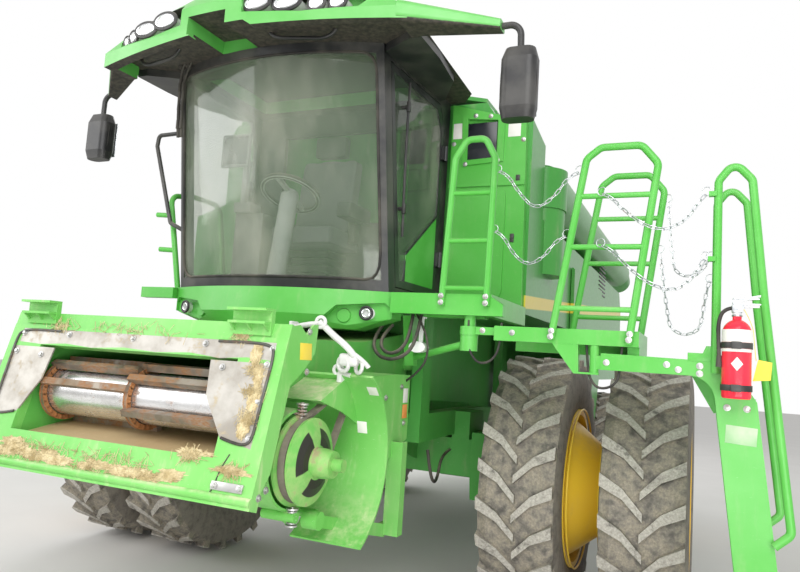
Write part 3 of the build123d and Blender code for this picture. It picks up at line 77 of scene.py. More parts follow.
def makeCamera():
    yaw, pitch, roll = (radians(cameraValues[word]) for word in ("yaw", "pitch", "roll"))
    forward = Vector((-sin(yaw) * cos(pitch), cos(yaw) * cos(pitch), sin(pitch)))
    level = Vector((cos(yaw), sin(yaw), 0))
    above = level.cross(forward)
    right = cos(roll) * level + sin(roll) * above
    up = cos(roll) * above - sin(roll) * level
    data = bpy.data.cameras.new("camera")
    data.sensor_width = cameraValues["sensorWidth"]
    data.lens = cameraValues["focalPixels"] / cameraValues["imageWidth"] * data.sensor_width
    data.clip_end = cameraValues["farEnd"]
    camera = bpy.data.objects.new("camera", data)
    bpy.context.scene.collection.objects.link(camera)
    turn = Matrix((right, up, -forward)).transposed()
    camera.matrix_world = Matrix.Translation(at(*cameraValues["place"])) @ turn.to_4x4()
    bpy.context.scene.camera = camera


makeCamera()
print("camera placed")


# Modelling helpers

shapeValues = {"bevelAngle": 40, "smoothAngle": 35}


def select(*pieces):
    bpy.ops.object.select_all(action="DESELECT")
    for piece in pieces:
        piece.select_set(True)
    bpy.context.view_layer.objects.active = pieces[0]


def smooth(piece):
    select(piece)
    bpy.ops.object.shade_smooth_by_angle(angle=radians(shapeValues["smoothAngle"]))
    return piece


def soften(piece, width, segments=2):
    # rounded edges and smooth shading
    select(piece)
    bevel = piece.modifiers.new("edges", "BEVEL")
    bevel.width = width / 1000
    bevel.segments = segments
    bevel.limit_method = "ANGLE"
    bevel.angle_limit = radians(shapeValues["bevelAngle"])
    bpy.ops.object.modifier_apply(modifier="edges")
    return smooth(piece)


def added(name, operator, **values):
    # what an add operator makes, with its place, turn and size in the mesh
    bpy.ops.object.select_all(action="DESELECT")
    operator(**values)
    piece = bpy.context.object
    piece.name = name
    bpy.ops.object.transform_apply(location=True, rotation=True, scale=True)
    return piece


def addBlock(name, low, high, edge=0, segments=2):
    a, b = at(*low), at(*high)
    piece = added(name, bpy.ops.mesh.primitive_cube_add, size=1, location=(a + b) / 2, scale=b - a)
    return soften(piece, edge, segments) if edge else piece


def addRod(name, start, end, radius, sides=20, endRadius=None):
    # a rod or cone between two points
    a, b = at(*start), at(*end)
    return added(name, bpy.ops.mesh.primitive_cone_add, vertices=sides, radius1=radius / 1000,
                 radius2=(endRadius or radius) / 1000, depth=(b - a).length, location=(a + b) / 2,
                 rotation=(b - a).to_track_quat("Z", "Y").to_euler())


def addRing(name, middle, direction, radius, thickness, sides=32, sectionSides=10):
    return added(name, bpy.ops.mesh.primitive_torus_add, major_radius=radius / 1000,
                 minor_radius=thickness / 1000, major_segments=sides, minor_segments=sectionSides,
                 location=at(*middle), rotation=Vector(direction).to_track_quat("Z", "Y").to_euler())


def extruded(name, points, push, fillType):
    # a closed line or a flat outline, extruded by a vector in millimetres
    piece = added(name, bpy.ops.mesh.primitive_circle_add, vertices=len(points), radius=1,
                  fill_type=fillType)
    for vertex, place in zip(piece.data.vertices, points):
        vertex.co = at(*place)
    bpy.ops.object.mode_set(mode="EDIT")
    bpy.ops.mesh.select_all(action="SELECT")
    bpy.ops.mesh.extrude_region_move(TRANSFORM_OT_translate={"value": Vector(push) / 1000})
    bpy.ops.mesh.select_all(action="SELECT")
    bpy.ops.mesh.normals_make_consistent(inside=False)
    bpy.ops.object.mode_set(mode="OBJECT")
    return piece


def addPlate(name, corners, push, edge=0, segments=2):
    plate = extruded(name, corners, push, "NGON")
    return soften(plate, edge, segments) if edge else plate


def addLine(name, points, resolution, closed=False):
    # a smooth NURBS line
    curve = bpy.data.curves.new(name, "CURVE")
    curve.dimensions = "3D"
    curve.resolution_u = resolution
    spline = curve.splines.new("NURBS")
    spline.points.add(len(points) - 1)
    for point, place in zip(spline.points, points):
        point.co = (*at(*place), 1)
    spline.use_cyclic_u = closed
    spline.order_u = 3
    spline.use_endpoint_u = not closed
    line = bpy.data.objects.new(name, curve)
    bpy.context.scene.collection.objects.link(line)
    return line


def addTube(name, points, radius, closed=False, resolution=6, sides=4):
    line = addLine(name, points, resolution, closed)
    line.data.bevel_depth = radius / 1000
    line.data.bevel_resolution = sides
    line.data.use_fill_caps = True
    select(line)
    bpy.ops.object.convert(target="MESH")
    return bpy.context.object


def joined(name, parts):
    select(*parts)
    if len(parts) > 1:
        bpy.ops.object.join()
    piece = bpy.context.object
    piece.name = name
    return piece


def copies(name, model, places):
    # one model repeated at matrices, as a single piece; the model itself goes
    made = []
    for place in places:
        piece = bpy.data.objects.new(name, model.data.copy())
        piece.data.transform(place)
        bpy.context.scene.collection.objects.link(piece)
        made.append(piece)
    bpy.data.objects.remove(model)
    return joined(name, made)


def facing(place, direction, spin=0.0):
    # matrix that stands a model's Z along a direction at a place
    turn = Vector(direction).to_track_quat("Z", "Y").to_matrix().to_4x4()
    return Matrix.Translation(at(*place)) @ turn @ Matrix.Rotation(spin, 4, "Z")


finishes = {}


def finish(piece, material, body="root"):
    piece.data.materials.clear()
    piece.data.materials.append(finishes[material])
    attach(piece, body)
    return piece


def fit(name, parts, material, body="root"):
    # parts joined and smoothed as one finished piece
    return finish(smooth(joined(name, parts)), material, body)


# Safety chains

chainValues = {"linkWidth": 24, "linkLength": 46, "wire": 5.6, "hookRadius": 23, "hookWire": 2.4,
               "hookRise": 14, "hookInset": 3, "lineSteps": 16}
railFront, railBack = -1520.3, -939.7
chainRoutes = {
    "chainLandingHigh": [(1501.5, railFront, 2908), (1555, railFront, 2888), (1620, railFront - 5, 2785),
                         (1728, railFront - 10, 2668), (1840, railFront - 15, 2745),
                         (1905, railFront - 18, 2850), (1964.4, railFront - 20, 2872)],
    "chainLandingLow": [(1497.5, railFront, 2554), (1548, railFront, 2530), (1608, railFront - 5, 2425),
                        (1697, railFront - 10, 2352), (1790, railFront - 15, 2400),
                        (1850, railFront - 18, 2490), (1907.5, railFront - 20, 2516)],
    "chainFrontHigh": [(2097, -1567.2, 2738), (2140, -1582, 2722), (2215, -1582, 2640),
                       (2315, -1580, 2560), (2415, -1580, 2533), (2510, -1575, 2580), (2575, -1565, 2680),
                       (2605.9, -1552, 2722)],
    "chainFrontLow": [(2100, -1567.2, 2458), (2145, -1582, 2442), (2230, -1582, 2350), (2335, -1580, 2260),
                      (2451, -1580, 2218), (2530, -1572, 2262), (2582, -1562, 2345), (2604.2, -1552, 2388)],
    "chainBackHigh": [(2400.1, railBack, 2841), (2408, railBack - 8, 2720), (2420, railBack - 18, 2600),
                      (2430, railBack - 28, 2500), (2438, railBack - 36, 2425), (2471, railBack - 46, 2386),
                      (2521, railBack - 57, 2372), (2571, railBack - 70, 2387), (2604, railBack - 80, 2427),
                      (2631, railBack - 90, 2475)],
    "chainBackLow": [(2359.5, railBack, 2530), (2376, railBack - 12, 2400), (2391, railBack - 22, 2270),
                     (2408, railBack - 30, 2165), (2420, railBack - 36, 2088), (2455, railBack - 43, 2048),
                     (2506, railBack - 52, 2033), (2556, railBack - 60, 2047), (2590, railBack - 68, 2087),
                     (2600, railBack - 75, 2165), (2614, railBack - 82, 2265), (2631, railBack - 90, 2345)]}


def routeLine(name, route):
    # the smooth line that hangs through a route's points
    holder = addLine(name, route, chainValues["lineSteps"])
    bpy.context.view_layer.update()
    shown = holder.evaluated_get(bpy.context.evaluated_depsgraph_get())
    mesh = bpy.data.meshes.new_from_object(shown)
    line = [vertex.co.copy() for vertex in mesh.vertices]
    bpy.data.objects.remove(holder)
    return line


def chainLink():
    # one oval wire link along X
    width, wire = chainValues["linkWidth"] / 1000, chainValues["wire"] / 1000
    stretch = (chainValues["linkLength"] - chainValues["linkWidth"]) / 2000
    link = added("link", bpy.ops.mesh.primitive_torus_add, major_radius=(width - wire) / 2,
                 minor_radius=wire / 2, major_segments=12, minor_segments=6)
    for vertex in link.data.vertices:
        vertex.co.x += stretch if vertex.co.x > 0 else -stretch
    return smooth(link)


def alongLine(line, distance):
    for first, second in zip(line, line[1:]):
        run = second - first
        if distance <= run.length:
            return first + run.normalized() * distance, run.normalized()
        distance -= run.length
    return line[-1], (line[-1] - line[-2]).normalized()


def makeChain(name, route):
    line = routeLine(name + "Line", route)
    length = sum((b - a).length for a, b in zip(line, line[1:]))
    linkLength = chainValues["linkLength"] / 1000
    pitch = linkLength - chainValues["wire"] * 2 / 1000
    count = round((length - linkLength) / pitch) + 1
    spread = (length - linkLength) / (count - 1)
    places = []
    for index in range(count):
        spot, along = alongLine(line, linkLength / 2 + spread * index)
        turn = along.to_track_quat("X", "Z").to_matrix().to_4x4()
        places.append(Matrix.Translation(spot) @ turn @ Matrix.Rotation(radians(45 + 90 * index), 4, "X"))
    chain = copies(name, chainLink(), places)
    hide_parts("safety_chains")
    toLadder = route[-1][0] > 2500
    hooks = []
    for end, (x, y, z), side, body in (("Start", route[0], 1, "root"),
                                       ("End", route[-1], -1, "ladder" if toLadder else "root")):
        place = (x - side * chainValues["hookInset"], y, z + chainValues["hookRise"])
        hook = addRing(name + "Hook" + end, place, (0.25, 1, 0), chainValues["hookRadius"],
                       chainValues["hookWire"], 28, 8)
        smooth(hook)
        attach(hook, body)
        hooks.append(hook)
    if toLadder:
        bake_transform(chain)
    else:
        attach(chain, "root")
    chainPieces.extend([chain, *hooks])


chainPieces = []
for name, route in chainRoutes.items():
    makeChain(name, route)
print("safety chains hung")


# Shader maths

class Wire:
    # a socket of a material's node tree that can be used in sums
    def __init__(self, tree, socket=None):
        self.tree = tree
        self.socket = socket

    def add(self, kind, inputs=None, settings=None, output=0):
        # the output of a new node; colours are written as three numbers
        node = self.tree.nodes.new(kind)
        for word, value in (settings or {}).items():
            setattr(node, word, value)
        for word, value in (inputs or {}).items():
            socket = node.inputs[word]
            if isinstance(value, Wire):
                self.tree.links.new(value.socket, socket)
            else:
                socket.default_value = (*value, 1) if socket.type == "RGBA" else value
        return Wire(self.tree, node.outputs[output])

    def maths(self, operation, first, second=0.0):
        return self.add("ShaderNodeMath", {0: first, 1: second}, {"operation": operation})

    def __add__(self, other):
        return self.maths("ADD", self, other)

    def __sub__(self, other):
        return self.maths("SUBTRACT", self, other)

    def __rsub__(self, other):
        return self.maths("SUBTRACT", other, self)

    def __mul__(self, other):
        return self.maths("MULTIPLY", self, other)

    def __abs__(self):
        return self.maths("ABSOLUTE", self)

    def between(self, low, high):
        # 0 below low, 1 above high, smooth between
        return self.add("ShaderNodeMapRange", {"Value": self, "From Min": low, "From Max": high},
                        {"interpolation_type": "SMOOTHSTEP"})

    def part(self, axis):
        return self.add("ShaderNodeSeparateXYZ", {0: self}, output="XYZ".index(axis))

    def outward(self, axis):
        # how far the surface faces along an axis
        return self.add("ShaderNodeTexCoord", output="Normal").part(axis)


def mixed(mask, first, second):
    # first colour where the mask is 0, second where it is 1
    return mask.add("ShaderNodeMix", {0: mask, 6: first, 7: second}, {"data_type": "RGBA"}, 2)


def lengthOf(first, second):
    return first.maths("SQRT", first * first + second * second)


def startMaterial(name):
    material = bpy.data.materials.new(name)
    material.use_nodes = True
    material.node_tree.nodes.clear()
    finishes[name] = material
    return Wire(material.node_tree).add("ShaderNodeTexCoord", output="Object")


def noise(place, scale, detail=4.0, roughness=0.55, stretch=None):
    vector = place.add("ShaderNodeMapping", {"Vector": place, "Scale": stretch}) if stretch else place
    return place.add("ShaderNodeTexNoise", {"Vector": vector, "Scale": scale, "Detail": detail,
                                            "Roughness": roughness})


def endMaterial(colour, roughness, bump=None, **values):
    # bump is a height with its strength and distance
    inputs = {"Base Color": colour, "Roughness": roughness}
    if bump:
        inputs["Normal"] = colour.add("ShaderNodeBump", dict(zip(("Height", "Strength", "Distance"), bump)))
    inputs.update({word.replace("_", " "): value for word, value in values.items()})
    shader = colour.add("ShaderNodeBsdfPrincipled", inputs)
    output = colour.tree.nodes.new("ShaderNodeOutputMaterial")
    colour.tree.links.new(shader.socket, output.inputs["Surface"])


# Finishes

dustColour = (0.50, 0.44, 0.32)


def bodyStripe(place):
    # band along the body's sides, rising towards the tail
    sideways = abs(place.part("X") - zero.x).between(1.455, 1.462)
    line = place.part("Z") - (place.part("Y") - zero.y) * 0.066 - 2.275
    return sideways * (1 - abs(line).between(0.042, 0.050))


def floorMask(place):
    # the feeder's floor, where crop has polished and stained it
    across = 1 - abs(place.part("X") - zero.x).between(0.640, 0.648)
    deep = (place.part("Y") - zero.y).between(-2.80, -2.74)
    return across * deep * (1 - place.part("Z").between(1.50, 1.56))


def valveMask(place):
    # bare metal valve above the extinguisher's bottle, and the brackets behind it
    behind = (place.part("Y") - zero.y).between(-1.5745, -1.5730)
    return place.maths("MAXIMUM", place.part("Z").between(2.100, 2.104), behind)


# base, worn, dust, amount of dust, gloss, scuffs, second colour's mask, second colour
paintRows = {
    "greenPaint": ((0.085, 0.43, 0.058), (0.17, 0.54, 0.13), dustColour),
    "feederPaint": ((0.150, 0.50, 0.095), (0.29, 0.61, 0.20), (0.74, 0.69, 0.47), 1.15, 0.42, 0.8),
    "housePaint": ((0.10, 0.42, 0.07), (0.20, 0.50, 0.14), (0.50, 0.40, 0.24), 0.9, 0.4, 0.5,
                   floorMask, (0.50, 0.36, 0.19)),
    # the body's green is a darker copy of the green paint: painted shade for the body's shaded sides; its
    # second colour is the yellow stripe
    "bodyPaint": ((0.05, 0.28, 0.045), (0.08, 0.34, 0.07), dustColour, 0.55, 0.32, 0.25,
                  bodyStripe, (0.75, 0.60, 0.06)),
    "chassisPaint": ((0.06, 0.30, 0.05), (0.09, 0.34, 0.075), (0.34, 0.29, 0.21), 1.1, 0.5, 0.4),
    "yellowPaint": ((0.92, 0.62, 0.045), (0.86, 0.58, 0.09), (0.42, 0.34, 0.22), 0.5, 0.36, 0.3),
    "redPaint": ((0.86, 0.022, 0.048), (0.90, 0.05, 0.08), (0.45, 0.38, 0.34), 0.25, 0.18, 0.1,
                 valveMask, (0.62, 0.63, 0.64))}


def paintMaterial(name, base, worn, dust, dustAmount=0.5, gloss=0.32, scuff=0.25, mask=None,
                  maskColour=None):
    # enamel with faded patches, settled dust and fine scuffs
    place = startMaterial(name)
    cloud = noise(place, 1.7, 5)
    grain = noise(place, 26, 6, 0.65)
    streak = noise(place, 5.5, 5, 0.6, (3.2, 3.2, 0.5))
    shade = mixed(cloud.between(0.35, 0.75) * 0.6, base, worn)
    if mask:
        shade = mixed(mask(place), shade, maskColour)
    drift = (grain * 0.45 + cloud * 0.55).between(0.38, 0.66)
    top = place.outward("Z").between(0.25, 0.95)
    settled = (top * 0.6 + streak.between(0.5, 0.8) * 0.45) * drift * dustAmount
    shade = mixed(settled, shade, dust)
    scratch = noise(place, 60, 3, 0.7, (0.6, 3.0, 5.0)).between(0.69, 0.73) * scuff
    shade = mixed(scratch, shade, (0.62, 0.66, 0.56))
    endMaterial(shade, settled * 0.5 + grain * 0.16 + (gloss - 0.08), (grain + cloud * 0.6, 0.10, 0.002),
                Coat_Weight=0.06, Coat_Roughness=0.22, Specular_IOR_Level=0.32)


def roofMaterial(name):
    # light green above, dark brown on faces that point down
    place = startMaterial(name)
    cloud = noise(place, 2.2, 5)
    grain = noise(place, 30, 6, 0.65)
    under = 1 - place.outward("Z").between(-0.62, -0.35)
    top = place.outward("Z").between(0.3, 0.95)
    shade = mixed(cloud.between(0.3, 0.75), (0.10, 0.43, 0.075), (0.17, 0.50, 0.14))
    shade = mixed(top * grain.between(0.35, 0.7) * 0.45, shade, dustColour)
    # dark brown tone on the faces that point down
    downwardTone = mixed(grain.between(0.3, 0.75), (0.022, 0.02, 0.018), (0.10, 0.085, 0.065))
    endMaterial(mixed(under, shade, downwardTone), under * 0.3 + grain * 0.2 + 0.25, (grain, 0.12, 0.002))


# dark, pale, roughness, amount of dust, scale of the pebbled surface
plasticRows = {
    "blackPlastic": ((0.012, 0.012, 0.013), (0.035, 0.036, 0.038), 0.32),
    "cabTrim": ((0.016, 0.017, 0.018), (0.045, 0.046, 0.045), 0.28, 0.35),
    "greyPlastic": ((0.20, 0.20, 0.195), (0.30, 0.30, 0.29), 0.45, 0.2),
    "paleConsole": ((0.38, 0.39, 0.38), (0.50, 0.51, 0.49), 0.4, 0.2),
    "blackRubber": ((0.014, 0.013, 0.012), (0.05, 0.046, 0.04), 0.6, 0.45, 90),
    "beltRubber": ((0.10, 0.085, 0.07), (0.22, 0.19, 0.15), 0.6, 0.5, 60),
    "paleLabel": ((0.72, 0.71, 0.66), (0.86, 0.85, 0.80), 0.4, 0.25),
    "wornLabel": ((0.30, 0.52, 0.26), (0.66, 0.68, 0.56), 0.45, 0.2, 60),
    "yellowLabel": ((0.80, 0.60, 0.04), (0.86, 0.68, 0.10), 0.4, 0.3),
    "orangeLabel": ((0.75, 0.26, 0.05), (0.82, 0.34, 0.09), 0.4, 0.3),
    "wornWhite": ((0.62, 0.62, 0.60), (0.82, 0.82, 0.80), 0.42, 0.25, 60),
    "darkGlass": ((0.006, 0.008, 0.012), (0.014, 0.018, 0.026), 0.05, 0.12, 8),
    "lensGlass": ((0.72, 0.73, 0.72), (0.88, 0.88, 0.86), 0.06, 0.15, 60),
    "redLens": ((0.35, 0.01, 0.01), (0.5, 0.03, 0.02), 0.1, 0.25, 60),
    "seatLeather": ((0.05, 0.05, 0.052), (0.10, 0.10, 0.10), 0.42, 0.2, 160)}


def plasticMaterial(name, dark, pale, rough, dustAmount=0.3, pebble=220):
    place = startMaterial(name)
    cloud = noise(place, 4, 5)
    top = place.outward("Z").between(0.2, 0.95)
    shade = mixed(cloud.between(0.35, 0.7), dark, pale)
    shade = mixed((top * 0.8 + 0.15) * cloud.between(0.35, 0.65) * dustAmount, shade, dustColour)
    endMaterial(shade, cloud * 0.25 + rough, (noise(place, pebble, 2), 0.12, 0.0006))


def doorMaterial(name):
    # black frame with the slanted green panel under the door's glass
    place = startMaterial(name)
    along, height = place.part("Y") - zero.y, place.part("Z")
    cloud = noise(place, 4, 5)
    line = (along + 1.235) * 0.748 + 2.465
    panel = along.between(-1.244, -1.240) * (1 - along.between(-0.796, -0.792))
    panel = panel * height.between(2.288, 2.292) * (line - height).between(-0.002, 0.002)
    patches = cloud.between(0.35, 0.7)
    shade = mixed(panel, mixed(patches, (0.016, 0.017, 0.018), (0.045, 0.046, 0.045)),
                  mixed(patches, (0.07, 0.38, 0.05), (0.13, 0.46, 0.10)))
    endMaterial(shade, cloud * 0.2 + 0.26, (cloud, 0.1, 0.001))


# bright, dull, roughness, rust, rust's colour, metal, stretch of the brushing
steelRows = {
    "galvanised": ((0.62, 0.64, 0.66), (0.42, 0.44, 0.46), 0.28, 0.05),
    "zincBolt": ((0.60, 0.60, 0.58), (0.36, 0.36, 0.35), 0.3, 0.25),
    "drumSteel": ((0.82, 0.82, 0.82), (0.60, 0.59, 0.58), 0.16, 0.12, (0.20, 0.085, 0.03), 0.9,
                  (0.4, 9, 9)),
    "wornSteel": ((0.50, 0.48, 0.44), (0.32, 0.295, 0.255), 0.42, 0.30, (0.46, 0.38, 0.25), 0.55),
    "chainSteel": ((0.34, 0.30, 0.25), (0.20, 0.15, 0.10), 0.45, 0.62, (0.30, 0.135, 0.045)),
    "rustyChain": ((0.42, 0.22, 0.10), (0.24, 0.10, 0.04), 0.5, 0.8, (0.40, 0.16, 0.05), 0.4),
    "darkSteel": ((0.14, 0.14, 0.13), (0.07, 0.065, 0.06), 0.42, 0.35, (0.14, 0.085, 0.05)),
    "chromeSteel": ((0.85, 0.86, 0.88), (0.72, 0.73, 0.75), 0.07, 0.0),
    "mirrorGlass": ((0.80, 0.83, 0.86), (0.72, 0.75, 0.78), 0.03, 0.0)}


def steelMaterial(name, bright, dull, rough, rust, rustColour=(0.20, 0.085, 0.03), metal=0.9,
                  stretch=(1, 8, 8)):
    # brushed steel with rust that gathers in patches
    place = startMaterial(name)
    cloud = noise(place, 5, 6, 0.6)
    grain = noise(place, 45, 5, 0.7, stretch)
    patch = noise(place, 9, 8, 0.7).between(0.62 - rust * 0.3, 0.70 - rust * 0.2)
    shade = mixed(cloud.between(0.35, 0.7), bright, dull)
    shade = mixed(patch * grain.between(0.3, 0.6), shade, rustColour)
    endMaterial(shade, patch * 0.45 + grain * 0.2 + rough, (grain + patch * 0.8, 0.18, 0.001),
                Metallic=(1 - patch * 0.85) * metal)


def pulleyMaterial(name):
    # worn green paint with painted shade in three windows between the spokes, where openings would look
    # dark
    place = startMaterial(name)
    along, height = place.part("Y") - (zero.y - 2.420), place.part("Z") - 1.280
    out = lengthOf(along, height)
    spokes = abs(along.maths("SINE", along.maths("ARCTAN2", height, along) * 1.5 + 0.6))
    # window marks where the painted shade of the spoke openings goes
    window = spokes.between(0.42, 0.50) * out.between(0.078, 0.082) * (1 - out.between(0.158, 0.162))
    cloud = noise(place, 9, 7, 0.65)
    shade = mixed(cloud.between(0.35, 0.65), (0.15, 0.46, 0.09), (0.30, 0.50, 0.16))
    shade = mixed(cloud.between(0.56, 0.66) * 0.8, shade, (0.36, 0.27, 0.17))
    # painted shade: near black in the windows on the outer face
    shade = mixed(place.outward("X").between(0.3, 0.6) * window, shade, (0.018, 0.016, 0.013))
    endMaterial(shade, cloud * 0.3 + 0.3, (cloud, 0.2, 0.002))


# tint, opacity of clean glass, added opacity of dirt
glassRows = {"cabGlass": ((0.20, 0.27, 0.18), 0.24, 0.24), "doorGlass": ((0.09, 0.12, 0.09), 0.42, 0.25)}


def glassMaterial(name, tint, alpha, dirt):
    place = startMaterial(name)
    smear = noise(place, 2.6, 6, 0.6, (1, 1, 0.45)).between(0.35, 0.75)
    speck = noise(place, 130, 3, 0.6).between(0.62, 0.75)
    film = smear * 0.55 + speck * 0.45
    endMaterial(mixed(film, tint, (0.55, 0.54, 0.45)), film * 0.22 + 0.03, Specular_IOR_Level=0.9,
                Alpha=film * dirt + alpha)


tyreRows = {"frontTyre": ("wheel_front_left", 0.937), "rearTyre": ("wheel_rear_left", 0.770)}


def tyreMaterial(name, wheelNode, radius):
    # black rubber whose bars are worn grey on top and caked with mud between
    place = startMaterial(name)
    low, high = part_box(wheelNode)
    out = lengthOf(place.part("Y") - (low.y + high.y) / 2, place.part("Z") - (low.z + high.z) / 2)
    lump = noise(place, 14, 8, 0.65)
    fine = noise(place, 70, 6, 0.7)
    barTop = out.between(radius - 0.016, radius - 0.008)
    tread = out.between(radius - 0.085, radius - 0.055)
    rubber = mixed(lump.between(0.25, 0.6), (0.085, 0.078, 0.068), (0.22, 0.20, 0.17))
    caked = mixed(fine.between(0.3, 0.7), (0.20, 0.175, 0.135), (0.36, 0.32, 0.25))
    shade = mixed(tread * lump.between(0.40, 0.62) * (1 - barTop * 0.55), rubber, caked)
    shade = mixed((1 - tread) * fine.between(0.35, 0.7) * 0.55, shade, (0.20, 0.175, 0.14))
    worn = mixed(fine.between(0.3, 0.75), (0.30, 0.28, 0.245), (0.56, 0.53, 0.47))
    shade = mixed(barTop * lump.between(0.25, 0.5) * 0.95, shade, worn)
    endMaterial(shade, lump * 0.2 + 0.72, (lump + fine * 0.5, 0.55, 0.008))


def fabricMaterial(name):
    place = startMaterial(name)
    across = place.maths("SINE", place.part("X") * 2400)
    down = place.maths("SINE", (place.part("Z") + place.part("Y")) * 2400)
    weave = (across * down) * 0.5 + 0.5
    cloud = noise(place, 6, 5)
    shade = mixed(cloud * 0.6 + weave * 0.4, (0.10, 0.10, 0.105), (0.24, 0.24, 0.245))
    endMaterial(shade, cloud * 0.1 + 0.82, (weave, 0.4, 0.0008), Sheen_Weight=0.3)


def strawMaterial(name):
    place = startMaterial(name)
    cloud = noise(place, 18, 6, 0.7)
    fine = noise(place, 140, 4, 0.7)
    shade = mixed(cloud.between(0.3, 0.7), (0.42, 0.32, 0.15), (0.72, 0.62, 0.38))
    shade = mixed(fine.between(0.55, 0.75) * 0.6, shade, (0.17, 0.12, 0.06))
    endMaterial(shade, fine * 0.1 + 0.85, (fine, 0.7, 0.004))


for rows, makeMaterial in ((paintRows, paintMaterial), (plasticRows, plasticMaterial),
                           (steelRows, steelMaterial), (glassRows, glassMaterial),
                           (tyreRows, tyreMaterial)):
    for name, row in rows.items():
        makeMaterial(name, *row)
roofMaterial("roofPaint")
doorMaterial("doorPaint")
pulleyMaterial("pulleyPaint")
fabricMaterial("seatFabric")
strawMaterial("straw")
print("finishes made")

nodeFinishes = {
    # the body's panels take the darker green, which is painted shade
    "bodyPaint": "engine_hood grain_tank rear_body side_panel_left side_panel_right tail_hood "
                 "tank_cover_left tank_cover_right unloading_auger",
    "greenPaint": "front_fascia ladder ladder_handrails landing platform_railings rear_ladder "
                  "right_platform swing_platform tower_panel",
    "chassisPaint": "front_axle lift_cylinder_barrels main_frame rear_axle steering_knuckle_left "
                    "steering_knuckle_right straw_chopper threshing_housing",
    "yellowPaint": "wheel_front_left wheel_front_right wheel_rear_left wheel_rear_right",
    "darkSteel": "engine_block radiator_screen spreader_disc_left spreader_disc_right",
    "feederPaint": "feeder_face feeder_side_shield", "housePaint": "feeder_house",
    "pulleyPaint": "feeder_drive_pulley", "drumSteel": "feeder_drum", "chainSteel": "feeder_chain",
    "wornSteel": "feeder_wear_plates", "chromeSteel": "lift_cylinder_rods",
    "redPaint": "fire_extinguisher", "doorPaint": "cab_door", "doorGlass": "cab_door_glass",
    "roofPaint": "cab_roof", "cabTrim": "cab_shell", "cabGlass": "cab_windows",
    "greyPlastic": "control_console operator_seat", "paleConsole": "steering_column",
    "blackPlastic": "mirrors", "lensGlass": "work_lamps"}


def dress(node, material):
    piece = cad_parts[node]
    if piece.material_slots:
        piece.material_slots[0].material = finishes[material]
    else:
        piece.data.materials.append(finishes[material])


for material, nodes in nodeFinishes.items():
    for node in nodes.split():
        dress(node, material)
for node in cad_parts:
    if node.startswith("tyre_"):
        dress(node, "frontTyre" if node.startswith("tyre_front") else "rearTyre")
for piece in chainPieces:
    piece.data.materials.append(finishes["galvanised"])
print("CAD nodes dressed")


# Bolts

boltValues = {"headRadius": 11, "headHeight": 8, "washerRadius": 17, "washerHeight": 3, "edge": 1}
faceValues = {"footY": -2850, "footZ": 1120, "lean": 215, "height": 795, "outY": -0.9653, "outZ": 0.261}


def boltModel():
    # hexagon head on a washer, standing on the scene's zero along Z
    parts = []
    low = 0
    for word, sides in (("washer", 20), ("head", 6)):
        height = boltValues[word + "Height"]
        parts.append(added(word, bpy.ops.mesh.primitive_cylinder_add, vertices=sides,
                           radius=boltValues[word + "Radius"] / 1000, depth=height / 1000,
                           location=(0, 0, (low + height / 2) / 1000)))
        low += height
    return soften(joined("bolt", parts), boltValues["edge"])


def facePlace(x, z, out=0.0):
    # a place on the feeder's tilted face
    lean = faceValues["lean"] * (z - faceValues["footZ"]) / faceValues["height"]
    return (x, faceValues["footY"] + lean + faceValues["outY"] * out, z + faceValues["outZ"] * out)


faceOut = Vector((0, faceValues["outY"], faceValues["outZ"]))
front, left = (0, -1, 0), (1, 0, 0)
frontBolts = {
    "root": ((1196, -1540.4, 2172), (1196, -1540.4, 2134), (1467, -1540.4, 2172), (1467, -1540.4, 2134),
             (1852, -1560.4, 1992), (1848, -1560.4, 1962), (2257, -1560.4, 1992), (2253, -1560.4, 1962),
             (1625, -1520, 1975), (1440, -1475, 1982), (1063, -683.5, 3578), (1176, -683.5, 3566),
             (1000, -683.5, 3220), (1240, -683.5, 3236), (-700, -1479, 2160), (900, -670, 3380),
             (1420, -670, 3380)),
    "ladder": ((2437, -1520, 1848), (2493, -1520, 1826), (2592, -1520, 1850), (2592, -1520, 1812),
               (2718, -1520, 1655), (2806, -1520, 1655), (2140, -1520, 1840))}
boltSpots = {body: [(spot, front) for spot in spots] for body, spots in frontBolts.items()}
boltSpots["feeder"] = (
    [(facePlace(x, z, -0.4), faceOut) for x, z in
     ((-800, 1800), (-462, 1803), (-16, 1806), (443, 1803), (826, 1800), (815, 1725), (575, 1700),
      (812, 1400), (815, 1560), (-812, 1700), (-812, 1400), (-620, 1690))]
    + [(facePlace(x, 1197, 9), faceOut) for x in (698, 832)]
    + [(spot, left) for spot in
       ((898, -2790, 1165), (898, -2740, 1190), (898, -2480, 1700), (898, -2480, 1890),
        (930, -1945, 1560), (930, -1640, 1560), (930, -1420, 1620), (930, -1360, 1400))])


def makeBolts():
    for body, spots in boltSpots.items():
        places = [facing(place, direction, index) for index, (place, direction) in enumerate(spots)]
        finish(copies("bolts_" + body, boltModel(), places), "zincBolt", body)


makeBolts()
print("bolts set")


# Blank plates and labels

